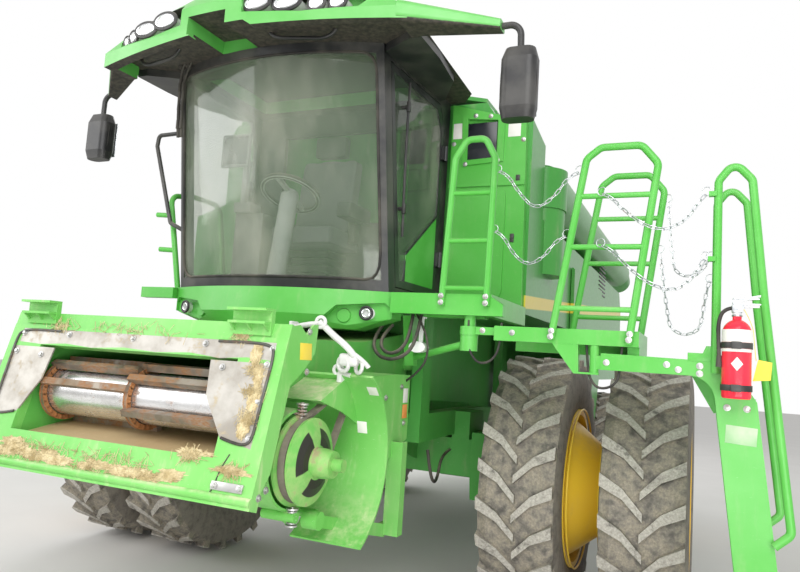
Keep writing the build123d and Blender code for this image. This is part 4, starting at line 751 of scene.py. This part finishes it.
# middle, direction across, direction up, width, height, finish, body
labelRows = {
    "flangePlate": ((898.2, -2500, 1795), (0, 1, 0), (0, -0.1, 1), 105, 80, "yellowLabel", "feeder"),
    "shieldPlateHigh": ((1066, -2096, 1616), (1, 0, 0), (0, -0.72, 0.694), 56, 62, "paleLabel", "feeder"),
    "shieldPlateLow": ((958, -1973, 1416), (1, 0, 0), (0, -0.291, 0.957), 58, 66, "paleLabel", "feeder"),
    "coverPlateHigh": ((930.2, -1352, 1566), (0, 1, 0), (0, 0, 1), 74, 88, "paleLabel", "feeder"),
    "coverPlateLow": ((930.2, -1352, 1470), (0, 1, 0), (0, 0, 1), 74, 84, "orangeLabel", "feeder"),
    "towerPlateInner": ((930, -670.2, 3476), (1, 0, 0), (0, 0, 1), 78, 118, "paleLabel", "root"),
    "towerPlateOuter": ((1352, -670.2, 3462), (1, 0, 0), (0, 0, 1), 92, 112, "paleLabel", "root"),
    "ladderPlate": ((2782, -1520.2, 1526), (1, 0, -0.06), (0.06, 0, 1), 140, 88, "wornLabel", "ladder")}
labelValues = {"thickness": 1.6, "rimShare": 0.06, "rimDepth": 0.5, "edge": 0.5}


def makeLabel(name, middle, across, up, width, height, material, body):
    # a bare plate with a fine raised rim
    along, rise = Vector(across).normalized(), Vector(up).normalized()
    out = along.cross(rise)
    corners = [Vector(middle) + along * width / 2 * i + rise * height / 2 * j
               for i, j in ((-1, -1), (1, -1), (1, 1), (-1, 1))]
    label = addPlate(name, corners, out * labelValues["thickness"])
    for face in label.data.polygons:
        face.select = face.normal.dot(out) > 0.9
    bpy.ops.object.mode_set(mode="EDIT")
    bpy.ops.mesh.inset(thickness=min(width, height) * labelValues["rimShare"] / 1000,
                       depth=-labelValues["rimDepth"] / 1000)
    bpy.ops.object.mode_set(mode="OBJECT")
    finish(soften(label, labelValues["edge"]), material, body)


for name, row in labelRows.items():
    makeLabel(name, *row)
print("plates set")


# Cab

cabValues = {"wiperArm": 8, "wiperBlade": 11, "clawReach": 30, "rodRadius": 9, "railRadius": 12,
             "mirrorHalf": 84, "seamHalf": 97, "seamRadius": 2.2, "sealRadius": 9, "wheelRadius": 196,
             "rimThickness": 18, "switchStep": 42, "rowStep": 70}


def makeWipers():
    # two arms from the notch in the visor, parked beside the right post
    parts = []
    for shift in (0, 62):
        arm = [(-330 + shift, -1915, 3800), (-480 + shift, -1895, 3775), (-722 + shift, -1775, 3700),
               (-748 + shift * 0.6, -1745, 3600)]
        low, high = (-742 + shift * 0.45, -1722, 3210), (-736 + shift * 0.5, -1752, 3640)
        blade = [high, ((low[0] + high[0]) / 2 - 6, -1752, 3420), low]
        parts += [addTube("arm", arm, cabValues["wiperArm"]),
                  addRod("hinge", (-722 + shift, -1790, 3690), (-722 + shift, -1755, 3690), 17, 16),
                  addRod("pivot", (-330 + shift, -1940, 3800), (-330 + shift, -1880, 3800), 20, 16),
                  addTube("blade", blade, cabValues["wiperBlade"])]
        reach = Vector((0, 0, cabValues["clawReach"]))
        for share in (0.2, 0.5, 0.8):
            spot = Vector(high).lerp(Vector(low), share) - Vector((0, 14, 0))
            parts.append(addRod("claw", spot - reach, spot + reach, 9, 8))
    fit("wipers", parts, "blackRubber")


def makeDoorRod():
    # long pull rod on the door's front edge, with its brackets and catch
    parts = [addTube("rod", [(848, -1402, 3560), (845, -1398, 3300), (842, -1380, 2900),
                             (842, -1360, 2560)], cabValues["rodRadius"])]
    for y, z in ((-1398, 3400), (-1372, 2740)):
        parts.append(addRod("bracket", (800, y, z), (846, y, z), 13, 12))
        parts.append(addBlock("catch", (836, y - 16, z - 34), (858, y + 16, z + 34), 5))
    fit("doorRod", parts, "blackPlastic", "door")


visorRails = {
    "visorRailLeft": [(160, -2010, 3735), (175, -2020, 3668), (380, -1990, 3652), (560, -1955, 3640),
                      (590, -1945, 3700)],
    "visorRailRight": [(-905, -1960, 3690), (-880, -1965, 3635), (-700, -1985, 3640),
                       (-560, -1990, 3660), (-545, -1990, 3725)]}


def makeVisorRails():
    # grab rails under the visor
    for name, points in visorRails.items():
        fit(name, [addTube(name, points, cabValues["railRadius"])], "blackPlastic")


# x, z, half width, half height
lampRows = [(181, 3806, 84, 44), (383, 3784, 84, 44), (573, 3760, 50, 42), (700, 3758, 50, 42),
            (-714, 3790, 78, 44), (-535, 3812, 78, 48), (-835, 3764, 30, 40), (-900, 3748, 24, 32)]
lampValues = {"ringRadius": 40, "frontEdge": -2080, "bow": 130, "roofHalf": 1110, "setBack": 22,
              "lowX": 707, "lowY": -1526, "lowZ": 2054}


def makeLampTrim():
    # a black bezel and a chromed reflector ring round each roof lamp
    bezels, rims = [], []
    radius = lampValues["ringRadius"]
    for x, z, halfWidth, halfHeight in lampRows:
        bow = lampValues["bow"] * (1 - (x / lampValues["roofHalf"]) ** 2)
        y = lampValues["frontEdge"] - bow + lampValues["setBack"]
        for found, grow, wire, shift in ((bezels, 4, 9, 4), (rims, -9, 5, -2)):
            ring = addRing("ring", (x, y + shift, z), (0, 1, 0), radius, wire, 36, 8)
            middle = at(x, y, z)
            for vertex in ring.data.vertices:
                flat = Vector((vertex.co.x - middle.x, 0, vertex.co.z - middle.z))
                wide = Vector((flat.x * (halfWidth + grow) / radius, 0,
                               flat.z * (halfHeight + grow) / radius))
                vertex.co += wide - flat
            found.append(ring)
    y, z = lampValues["lowY"], lampValues["lowZ"]
    for side in (1, -1):
        x, outwards = side * lampValues["lowX"], (side * 0.27, -1, 0)
        bezels.append(addRing("ring", (x, y, z), outwards, 38, 8, 32, 8))
        rims.append(addRing("ring", (x, y - 3, z), outwards, 24, 4, 28, 8))
    fit("lampBezels", bezels, "blackPlastic")
    fit("lampRims", rims, "chromeSteel")


def makeMirrorGlasses():
    # glass in the back of each mirror housing, with a seam round the shell
    half, wide = cabValues["mirrorHalf"], cabValues["seamHalf"]
    for word, x, y, low, high in (("Left", 1702, -1902, 3065, 3449), ("Right", -1475, -1722, 3095, 3425)):
        corners = [(x - half, y + 64, low + 34), (x + half, y + 64, low + 34),
                   (x + half, y + 64, high - 40), (x - half, y + 64, high - 40)]
        finish(addPlate("mirrorGlass" + word, corners, (0, 5, 0), 3, 3), "mirrorGlass")
        name = "mirrorSeam" + word
        seam = [(x - wide, y - 20, low + 60), (x - wide, y - 20, high - 60), (x - 70, y - 34, high - 3),
                (x + 70, y - 34, high - 3), (x + wide, y - 20, high - 60), (x + wide, y - 20, low + 60),
                (x + 70, y - 34, low + 3), (x - 70, y - 34, low + 3)]
        fit(name, [addTube(name, seam, cabValues["seamRadius"], True, 8)], "blackRubber")


def glassPlace(x, z):
    # a place on the front glass between the bowed posts
    share = (z - 2210) / 1490
    bow = (1 - (x / (820 - 30 * share)) ** 2) * 170
    return (x, -1465 - 235 * share - max(bow, 0) - 2, z)


def makeWindshieldSeal():
    # rubber round the front glass
    low, high, lowHalf, highHalf = 2262, 3640, 777, 747
    heights = (2600, 3000, 3400)
    edges = [lowHalf - (lowHalf - highHalf) * (z - low) / (high - low) for z in heights]
    points = [glassPlace(step * lowHalf / 4, low) for step in range(-4, 5)]
    points += [glassPlace(x, z) for x, z in zip(edges, heights)]
    points += [glassPlace(step * highHalf / 4, high) for step in range(4, -5, -1)]
    points += [glassPlace(-x, z) for x, z in reversed(list(zip(edges, heights)))]
    seal = addTube("windshieldSeal", points, cabValues["sealRadius"], True, 4, 2)
    fit("windshieldSeal", [seal], "blackRubber")


padValues = {"puff": 18, "crown": 0.45, "seamWidth": 0.13, "seamPull": 0.05, "cuts": 7}


def addPad(name, low, high, lean=0.0, seams=()):
    # a crowned cushion: a soft box whose middle swells and whose seams pull in
    pad = addBlock(name, low, high)
    bpy.ops.object.mode_set(mode="EDIT")
    bpy.ops.mesh.select_all(action="SELECT")
    bpy.ops.mesh.subdivide(number_cuts=padValues["cuts"])
    bpy.ops.object.mode_set(mode="OBJECT")
    a, b = at(*low), at(*high)
    middle, half = (a + b) / 2, (b - a) / 2
    puff, seamWidth = padValues["puff"] * 0.002, padValues["seamWidth"]
    for vertex in pad.data.vertices:
        place = vertex.co - middle
        shares = [place[i] / half[i] for i in range(3)]
        swell = 1.0
        for share in shares:
            swell *= 1 - padValues["crown"] * abs(share) ** 3
        pull = sum(padValues["seamPull"] for seam in seams if abs(shares[0] - seam) < seamWidth)
        vertex.co = middle + place * (1 - puff + puff * swell - pull)
        vertex.co.y += lean * (vertex.co.z - a.z)
    select(pad)
    surface = pad.modifiers.new("round", "SUBSURF")
    surface.levels = surface.render_levels = 1
    bpy.ops.object.modifier_apply(modifier="round")
    return smooth(pad)


# low corner, high corner, finish, lean, seams
padRows = {"seatCushion": ((-250, -1255, 2545), (250, -800, 2672), "seatFabric", 0.0, (-0.5, 0.5)),
           "seatBack": ((-232, -975, 2668), (232, -860, 3245), "seatFabric", 0.13, (-0.5, 0.5)),
           "seatHead": ((-132, -912, 3264), (132, -834, 3425), "seatLeather", 0.0, ()),
           "seatArm": ((262, -1222, 2736), (374, -885, 2844), "seatLeather", 0.0, ())}


def makeSeat():
    parts = [addBlock("foot", (-190, -1140, 2210.5), (190, -820, 2250), 12)]
    for index in range(5):
        inset, low = (26 if index % 2 else 8), 2252 + index * 54
        parts.append(addBlock("fold", (-180 + inset, -1130 + inset, low),
                              (180 - inset, -830 - inset, low + 52), 16))
    parts.append(addBlock("arm", (240, -995, 2590), (296, -905, 2765), 10))
    seatBase = finish(joined("seatBase", parts), "blackRubber")
    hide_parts("operator_seat")
    for name, (low, high, material, lean, seams) in padRows.items():
        pad = finish(addPad(name, low, high, lean, seams), material)
        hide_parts("operator_seat")


def makeControls():
    # rim of the steering wheel, the lever, screen and switches
    rim = addRing("steeringRim", (0, -1396, 2866), (0, 0.4, 0.92), cabValues["wheelRadius"],
                  cabValues["rimThickness"], 40, 10)
    fit("steeringRim", [rim], "blackRubber")
    corners = [(x, -1371, z) for x, z in ((-628, 3105), (-412, 3105), (-412, 3315), (-628, 3315))]
    finish(addPlate("screenGlass", corners, (0, -3, 0), 1.2), "darkGlass")
    switches = []
    for row in range(3):
        for column in range(5):
            x, y = -540 + column * cabValues["switchStep"], -1190 + row * cabValues["rowStep"]
            switches.append(addBlock("switch", (x, y, 2769), (x + 26, y + 40, 2782), 4))
    switches += [addRod("stem", (-450, -1240, 2834), (-455, -1262, 2935), 12, 12),
                 addBlock("grip", (-488, -1300, 2925), (-428, -1232, 3010), 22, 4)]
    fit("switches", switches, "blackPlastic")


makeWipers()
makeDoorRod()
makeVisorRails()
makeLampTrim()
makeMirrorGlasses()
makeWindshieldSeal()
makeSeat()
makeControls()
print("cab fitted")


# Feeder

feederValues = {"chainStrands": (-590, 0, 590), "drumPlace": (-2533.9, 1503.7), "chainRadius": 147,
                "linkStep": 14.8, "linkCount": 15, "beltWidth": 36, "beltThickness": 17,
                "pulleyRadius": 189, "idlerRadius": 58}


def makeChainLinks():
    # side plates and rollers of the three roller chains round the drum
    parts = []
    for side in (-1, 1):
        parts.append(addRod("link", (side * 11 - 1.6, 0, 0), (side * 11 + 1.6, 0, 0), 14, 14))
        for end in (-13, 13):
            parts.append(addRod("eye", (side * 13 - 2.4, end, 0), (side * 13 + 2.4, end, 0), 12.5, 14))
    parts.append(addRod("roller", (-17, 13, 0), (17, 13, 0), 7, 12))
    model = joined("link", parts)
    model.data.transform(Matrix.Translation(-zero))
    smooth(model)
    places = []
    y, z = feederValues["drumPlace"]
    radius, step = feederValues["chainRadius"], feederValues["linkStep"]
    for x in feederValues["chainStrands"]:
        for index in range(feederValues["linkCount"]):
            angle = radians(180 - 7 * step + index * step)
            spot = (x, y + radius * cos(angle), z + radius * sin(angle))
            places.append(Matrix.Translation(at(*spot)) @ Matrix.Rotation(angle + radians(90), 4, "X"))
    finish(copies("feederChainLinks", model, places), "rustyChain", "feeder")


def makeLockPlate():
    corners = [facePlace(x, z, 1) for x, z in ((681, 1180), (847, 1180), (847, 1216), (681, 1216))]
    finish(addPlate("lockPlate", corners, faceOut * 8, 2), "zincBolt", "feeder")
    points = [facePlace(x, z, 1) for x, z in ((640, 1140), (690, 1160), (700, 1260), (735, 1330))]
    fit("cornerSeam", [addTube("cornerSeam", points, 3, sides=2)], "blackRubber", "feeder")


rimRoute = ((520, 1818), (700, 1822), (822, 1812), (842, 1770), (838, 1650), (834, 1500), (832, 1400),
            (800, 1372), (730, 1378), (668, 1392))


def makeWearRims():
    # dark worn rim on the outer edge of each corner plate
    for word, side in (("Left", 1), ("Right", -1)):
        points = [facePlace(side * x, z, 4) for x, z in rimRoute]
        fit("wearRim" + word, [addTube("rim", points, 7, sides=3)], "darkSteel", "feeder")


strawValues = {"count": 900, "seed": 7, "length": 60, "clumpSteps": 3, "topReach": 850}
strandZones = [((-431, 1202), 130), ((-35, 1187), 150), ((276, 1189), 120), ((762, 1262), 60),
               ((-634, 1199), 110), ((520, 1300), 70), ((100, 1240), 320), ((-400, 1235), 300),
               ((770, 1600), 55), ((780, 1480), 50), ((760, 1700), 45), ((-545, 1845), 90),
               ((634, 1852), 60), ((0, 1850), 420)]
# x, z and half width of the clumps on the lip and on the corner plate
clumpRows = [(x, z, 95) for x, z in
             ((-700, 1196), (-600, 1208), (-500, 1202), (-420, 1196), (-330, 1210), (-240, 1192),
              (-60, 1186), (40, 1192), (150, 1186), (250, 1192), (340, 1186), (430, 1200), (760, 1262),
              (560, 1316), (-560, 1240))]
clumpRows += [(785, 1560, 50), (775, 1660, 40), (770, 1450, 40), (745, 1760, 40)]


def makeStraw():
    # chopped straw lying on the lip and caught on the corner plates
    dice = random.Random(strawValues["seed"])
    strand = added("strand", bpy.ops.mesh.primitive_cone_add, vertices=3, radius1=0.0016,
                   radius2=0.0009, depth=strawValues["length"] / 1000)
    lay = faceOut.to_track_quat("Z", "Y").to_matrix().to_4x4()
    places = []
    for index in range(strawValues["count"]):
        (x, z), reach = dice.choice(strandZones)
        x = min(max(x + dice.gauss(0, reach / 2), -strawValues["topReach"]), strawValues["topReach"])
        spot = facePlace(x, z + dice.gauss(0, 14), dice.uniform(2, 9))
        spin, tilt = dice.uniform(0, 2 * pi), radians(dice.uniform(80, 96))
        turn = Matrix.Rotation(spin, 4, "Z") @ Matrix.Rotation(tilt, 4, "X")
        size = dice.uniform(0.5, 1.3)
        places.append(Matrix.Translation(at(*spot)) @ lay @ turn @ Matrix.Diagonal((1, 1, size, 1)))
    finish(copies("strawStrands", strand, places), "straw", "feeder")
    clumps = []
    for x, z, reach in clumpRows:
        for step in range(strawValues["clumpSteps"]):
            clump = added("clump", bpy.ops.mesh.primitive_ico_sphere_add, subdivisions=4, radius=1)
            wide = dice.uniform(0.45, 1.0) * reach / 1000 if z < 1400 else 0.022
            deep = dice.uniform(0.010, 0.026) if z < 1400 else 0.055
            for vertex in clump.data.vertices:
                rough = 0.7 + 0.75 * turbulence(vertex.co * 4 + Vector((x, z, step)), 4, False)
                vertex.co = Vector((vertex.co.x * wide, vertex.co.y * deep, vertex.co.z * 0.006)) * rough
            spot = facePlace(x + dice.uniform(-0.5, 0.5) * reach, z + dice.uniform(-14, 14), 1.5)
            clump.data.transform(Matrix.Translation(at(*spot)) @ lay)
            clumps.append(clump)
    fit("strawClumps", clumps, "straw", "feeder")


def addBand(name, points, push, thickness):
    # a strip that follows a closed line, with its width along a vector
    band = extruded(name, points, push, "NOTHING")
    solid = band.modifiers.new("wall", "SOLIDIFY")
    solid.thickness = thickness / 1000
    solid.offset = 0
    bpy.ops.object.modifier_apply(modifier="wall")
    return smooth(band)


def makeBelt():
    # belt from the drive pulley up into the side shield
    low, high = Vector((-2420, 1280)), Vector((-2090, 1555))
    big, small = feederValues["pulleyRadius"], feederValues["idlerRadius"]
    run = high - low
    lean, spread = atan2(run.y, run.x), acos((big - small) / run.length)
    points = []
    for middle, radius, first, last, count in ((low, big, lean + spread, lean + 2 * pi - spread, 40),
                                               (high, small, lean - spread, lean + spread, 14)):
        for step in range(count + 1):
            angle = first + (last - first) * step / count
            points.append((867, middle.x + radius * cos(angle), middle.y + radius * sin(angle)))
    belt = addBand("driveBelt", points, (feederValues["beltWidth"], 0, 0), feederValues["beltThickness"])
    finish(belt, "beltRubber", "feeder")
    wheel = [addRod("idler", (862, high.x, high.y), (910, high.x, high.y), 49, 28),
             addRod("hub", (703, high.x, high.y), (925, high.x, high.y), 20, 20)]
    finish(soften(joined("beltIdler", wheel), 3), "pulleyPaint", "feeder")


def makeSprings():
    # tension springs at the top and the foot of the drive
    x = 860
    for word, y, z, reach in (("High", -2430, 1507, 1), ("Low", -2449, 1021, -1)):
        middle = z - 8 * reach
        parts = [addRod("stem", (x, y, z - 46), (x, y, z + 46), 9, 16),
                 addRod("seat", (x, y, z + 34), (x, y, z + 42), 30, 28),
                 addRod("seat", (x, y, z - 42), (x, y, z - 34), 30, 28),
                 addBlock("arm", (700, y - 22, middle - 5), (880, y + 22, middle + 5), 3)]
        for step in range(4):
            parts.append(addRing("coil", (x, y, z - 26 + step * 17), (0.08, 0, 1), 20, 5, 26, 8))
        fit("tensionSpring" + word, parts, "zincBolt", "feeder")


# radius and points of the lever's bent rods
leverRods = {
    "arm": (14, [(700, -2310, 1915), (800, -2320, 1938), (868, -2320, 1938)]),
    "bar": (17, [(852, -2325, 1948), (880, -2310, 1925), (925, -2280, 1878), (985, -2250, 1832),
                 (1010, -2225, 1790)]),
    "hook": (12, [(1010, -2225, 1800), (975, -2225, 1770), (925, -2205, 1765), (905, -2195, 1735),
                  (925, -2180, 1695), (975, -2185, 1690)]),
    "tie": (12, [(1005, -2225, 1800), (1060, -2215, 1770), (1085, -2200, 1735)])}
# middle, direction, radius and thickness of its eyes
leverEyes = (((948, -2215, 1745), (0.3, 1, 0.1), 36, 11), ((905, -2180, 1712), (-0.2, 1, 0.3), 26, 9),
             ((1030, -2200, 1735), (0.6, 1, -0.1), 30, 10), ((862, -2322, 1946), (0, 1, 0), 26, 9))


def makeHookLever():
    # pale coupling lever that leans on the shield, with its hooks
    parts = [addBlock("foot", (690, -2345, 1880), (705, -2275, 1945), 4),
             addBlock("body", (925, -2235, 1735), (1030, -2185, 1800), 16, 3),
             addBlock("rest", (900, -2190, 1650), (928, -2140, 1705), 6)]
    parts += [addTube(name, points, radius) for name, (radius, points) in leverRods.items()]
    parts += [addRing("eye", *eye, 26, 10) for eye in leverEyes]
    fit("couplingLever", parts, "wornWhite", "feeder")


makeChainLinks()
makeLockPlate()
makeWearRims()
makeStraw()
makeBelt()
makeSprings()
makeHookLever()
print("feeder detailed")


# Landing, ladder and front hoses

hoseValues = {"thin": 7, "thick": 11}
hoseRoutes = {
    "hoseLandingLeft": ("thin", [
        (1353, -1470, 2040), (1353, -1480, 1894), (1400, -1484, 1812), (1449, -1484, 1790),
        (1510, -1484, 1815), (1550, -1480, 1892), (1550, -1470, 2030)]),
    "hoseLandingRight": ("thin", [
        (2029, -1485, 1960), (2040, -1496, 1783), (2080, -1500, 1712), (2125, -1500, 1700),
        (2180, -1500, 1722), (2209, -1496, 1780), (2215, -1485, 1960)]),
    "hoseFrontOuter": ("thick", [
        (1000, -1340, 2080), (1010, -1400, 1960), (985, -1455, 1830), (880, -1470, 1775),
        (760, -1450, 1800), (700, -1400, 1900), (720, -1300, 2000)]),
    "hoseFrontInner": ("thick", [
        (940, -1330, 2080), (955, -1400, 1950), (930, -1440, 1850), (850, -1450, 1810),
        (775, -1430, 1850), (760, -1380, 1930), (790, -1300, 2000)]),
    "hoseFrontLow": ("thin", [
        (960, -1335, 2080), (1060, -1380, 1960), (1080, -1390, 1800), (1000, -1380, 1700),
        (900, -1340, 1640), (840, -1250, 1600)]),
    "hoseUnderFrame": ("thick", [
        (885, -800, 1180), (905, -790, 1040), (900, -690, 940), (880, -560, 960), (835, -380, 1100),
        (835, -200, 1120)])}


def makeHoses():
    for name, (size, points) in hoseRoutes.items():
        fit(name, [addTube(name, points, hoseValues[size], False, 10)], "blackRubber")


def makeStepBracket():
    corners = [(x, -1522, z) for x, z in ((2535, 1872), (2664, 1872), (2664, 1952), (2620, 1952),
                                          (2605, 1915), (2535, 1915))]
    finish(addPlate("stepBracket", corners, (0, 6, 0), 2), "greenPaint", "ladder")


bottleValues = {"x": 2753, "y": -1640, "bandRadius": 65.9, "clampRadius": 69.6,
                "clampHeights": (1740, 1940)}


def makeExtinguisherTrim():
    x, y = bottleValues["x"], bottleValues["y"]
    band = addRod("band", (x, y, 1925), (x, y, 2030), bottleValues["bandRadius"], 48)
    finish(soften(band, 0.4), "paleLabel", "ladder")
    clamps = []
    for z in bottleValues["clampHeights"]:
        clamp = addRod("clamp", (x, y, z), (x, y, z + 30), bottleValues["clampRadius"], 48)
        clamps.append(soften(clamp, 1.5))
        clamps.append(addBlock("latch", (x - 26, y - 84, z - 2), (x + 18, y - 66, z + 32), 3))
    finish(joined("extinguisherClamps", clamps), "blackPlastic", "ladder")
    corners = [(x, y - 64.2, 1835), (x + 26, y - 61, 1868), (x, y - 64.2, 1901), (x - 26, y - 61, 1868)]
    label = addPlate("extinguisherLabel", corners, (0, -2.4, 0), 0.4)
    finish(label, "paleLabel", "ladder")
    fit("extinguisherHead", [
        addRod("neck", (x, y, 2076), (x, y, 2150), 17, 24, 15),
        addRing("collar", (x, y, 2098), (0, 0, 1), 19, 5),
        addBlock("valve", (x - 24, y - 20, 2112), (x + 24, y + 20, 2152), 5),
        addBlock("grip", (x - 14, y - 12, 2150), (x + 102, y + 12, 2158), 3),
        addBlock("lever", (x - 20, y - 11, 2176), (x + 96, y + 11, 2184), 3),
        addRod("hinge", (x - 10, y - 14, 2164), (x - 10, y + 14, 2164), 12, 18),
        addRod("gauge", (x + 12, y - 30, 2132), (x + 12, y - 18, 2132), 15, 24)], "galvanised", "ladder")
    line = [(x - 22, y, 2135), (x - 62, y, 2128), (x - 82, y - 2, 2060), (x - 80, y - 3, 1990),
            (x - 76, y - 4, 1900)]
    hose = [addTube("hose", line, 9),
            addRod("nozzle", (x - 76, y - 4, 1905), (x - 75, y - 4, 1850), 11, 18, 16)]
    fit("extinguisherHose", hose, "blackRubber", "ladder")
    tie = addTube("tie", [(x + 24, y + 4, 2140), (x + 70, y + 8, 2060), (x + 76, y + 14, 1960),
                          (x + 84, y + 16, 1888)], 1.6)
    corners = [(x + 70, y + 14, 1792), (x + 146, y + 20, 1800), (x + 152, y + 20, 1884),
               (x + 92, y + 14, 1894)]
    tag = addPlate("tag", corners, (0, 1.6, 0), 0.4)
    finish(joined("serviceTag", [tag, tie]), "yellowLabel", "ladder")


makeHoses()
makeStepBracket()
makeExtinguisherTrim()
print("ladder and hoses fitted")


# Tower and body

bodyValues = {"slitCount": 9, "slitLow": 2690, "slitStep": 48, "slitTilt": 24, "hubRadius": 237.5,
              "beadRadius": 562, "beadPlaces": (1792, 1998), "handleRadius": 9, "handleHeight": 160}


def makePanelHandles():
    # pull handles low on the side panels
    for word, side in (("left", 1), ("right", -1)):
        low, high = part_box("side_panel_" + word)
        x = ((high.x if side > 0 else low.x) - zero.x) * 1000 - side
        y = ((low.y + high.y) / 2 - zero.y) * 1000
        z = low.z * 1000 + bodyValues["handleHeight"]
        points = [(x + side * out, y + along, z)
                  for out, along in ((0, -90), (26, -84), (30, 0), (26, 84), (0, 90))]
        handle = addTube("handle", points, bodyValues["handleRadius"])
        fit("panelHandle_" + word, [handle], "blackPlastic", "side_panel_" + word)


def makeTowerTrim():
    corners = [(x, -669, z) for x, z in ((990, 3255), (1225, 3255), (1225, 3525), (990, 3525))]
    finish(addPlate("towerPane", corners, (0, -6, 0), 2, 3), "darkGlass")
    parts = []
    for x, z in ((1393, 3095), (1370, 2675)):
        parts.append(addBlock("latch", (x - 14, -682, z - 30), (x + 14, -668, z + 30), 4))
        parts.append(addRod("knob", (x, -690, z), (x, -676, z), 9, 20))
    finish(joined("towerLatches", parts), "blackPlastic")


def makeLouvers():
    # cooling slits high on the body's sides
    for word, side in (("Left", 1), ("Right", -1)):
        model = addBlock("slit", (-5, -260, -9), (5, 260, 9))
        model.data.transform(Matrix.Translation(-zero))
        soften(model, 3)
        turn = Matrix.Rotation(side * radians(bodyValues["slitTilt"]), 4, "Y")
        heights = [bodyValues["slitLow"] + index * bodyValues["slitStep"]
                   for index in range(bodyValues["slitCount"])]
        places = [Matrix.Translation(at(side * 1472, 3126, z)) @ turn for z in heights]
        finish(copies("louvers" + word, model, places), "blackPlastic")


def makeHubRings():
    # steel band on each drum hub between the dual wheels, and the rims' beads
    axle = 937
    for word, side in (("left", 1), ("right", -1)):
        body = "front_wheels_" + word
        band = addRod("band", (side * 1841, 0, axle), (side * 1881, 0, axle), bodyValues["hubRadius"], 56)
        finish(soften(band, 2), "galvanised", body)
        rings = [addRing("bead", (side * x, 0, axle), (1, 0, 0), bodyValues["beadRadius"], 7, 64, 8)
                 for x in bodyValues["beadPlaces"]]
        fit("rimBeads_" + word, rings, "yellowPaint", body)


def makeRearLenses():
    lenses = [addBlock("lens", (x - 76, 5189, 2262), (x + 76, 5195, 2338), 5, 3) for x in (-1180, 1180)]
    finish(joined("rearLenses", lenses), "redLens")


makePanelHandles()
makeTowerTrim()
makeLouvers()
makeHubRings()
makeRearLenses()
print("body trimmed")


# Floor and light

stageValues = {"floorSize": 80, "worldStrength": 0.68}
# place, target, size, watts
lightRows = {"key": ((3500, -9500, 7500), (0, -800, 1800), (8, 6), 700),
             "fill": ((-7500, -6500, 5000), (0, 0, 1500), (6, 5), 330),
             "back": ((-4500, 9500, 7500), (0, 2500, 1500), (8, 6), 420),
             "low": ((4200, -6500, 900), (1600, -300, 900), (5, 1.6), 150)}


def makeFloor():
    floor = added("floor", bpy.ops.mesh.primitive_plane_add, size=stageValues["floorSize"])
    place = startMaterial("paleFloor")
    cloud = noise(place, 1.2, 6)
    endMaterial(mixed(cloud, (0.62, 0.61, 0.59), (0.70, 0.69, 0.67)), cloud * 0.1 + 0.8)
    floor.data.materials.append(finishes["paleFloor"])


def makeLight(name, place, target, size, watts):
    data = bpy.data.lights.new(name, "AREA")
    data.shape = "RECTANGLE"
    data.size, data.size_y = size
    data.energy = watts
    lamp = bpy.data.objects.new(name, data)
    lamp.location = at(*place)
    lamp.rotation_euler = (at(*target) - at(*place)).to_track_quat("-Z", "Y").to_euler()
    bpy.context.scene.collection.objects.link(lamp)


def makeWorld():
    # white where it is seen, dimmer as light
    world = bpy.data.worlds.new("studio")
    bpy.context.scene.world = world
    world.use_nodes = True
    tree = world.node_tree
    tree.nodes.clear()
    rays = tree.nodes.new("ShaderNodeLightPath")
    seen, glossy, through = (Wire(tree, rays.outputs["Is " + word + " Ray"])
                             for word in ("Camera", "Glossy", "Transmission"))
    shown = seen.maths("MAXIMUM", seen, seen.maths("MAXIMUM", glossy, through))
    strength = shown * (1 - stageValues["worldStrength"]) + stageValues["worldStrength"]
    back = seen.add("ShaderNodeBackground", {"Color": (1, 1, 1), "Strength": strength})
    output = tree.nodes.new("ShaderNodeOutputWorld")
    tree.links.new(back.socket, output.inputs["Surface"])


makeFloor()
makeWorld()
for name, row in lightRows.items():
    makeLight(name, *row)
bpy.context.scene.view_settings.view_transform = "Standard"
print("stage set")
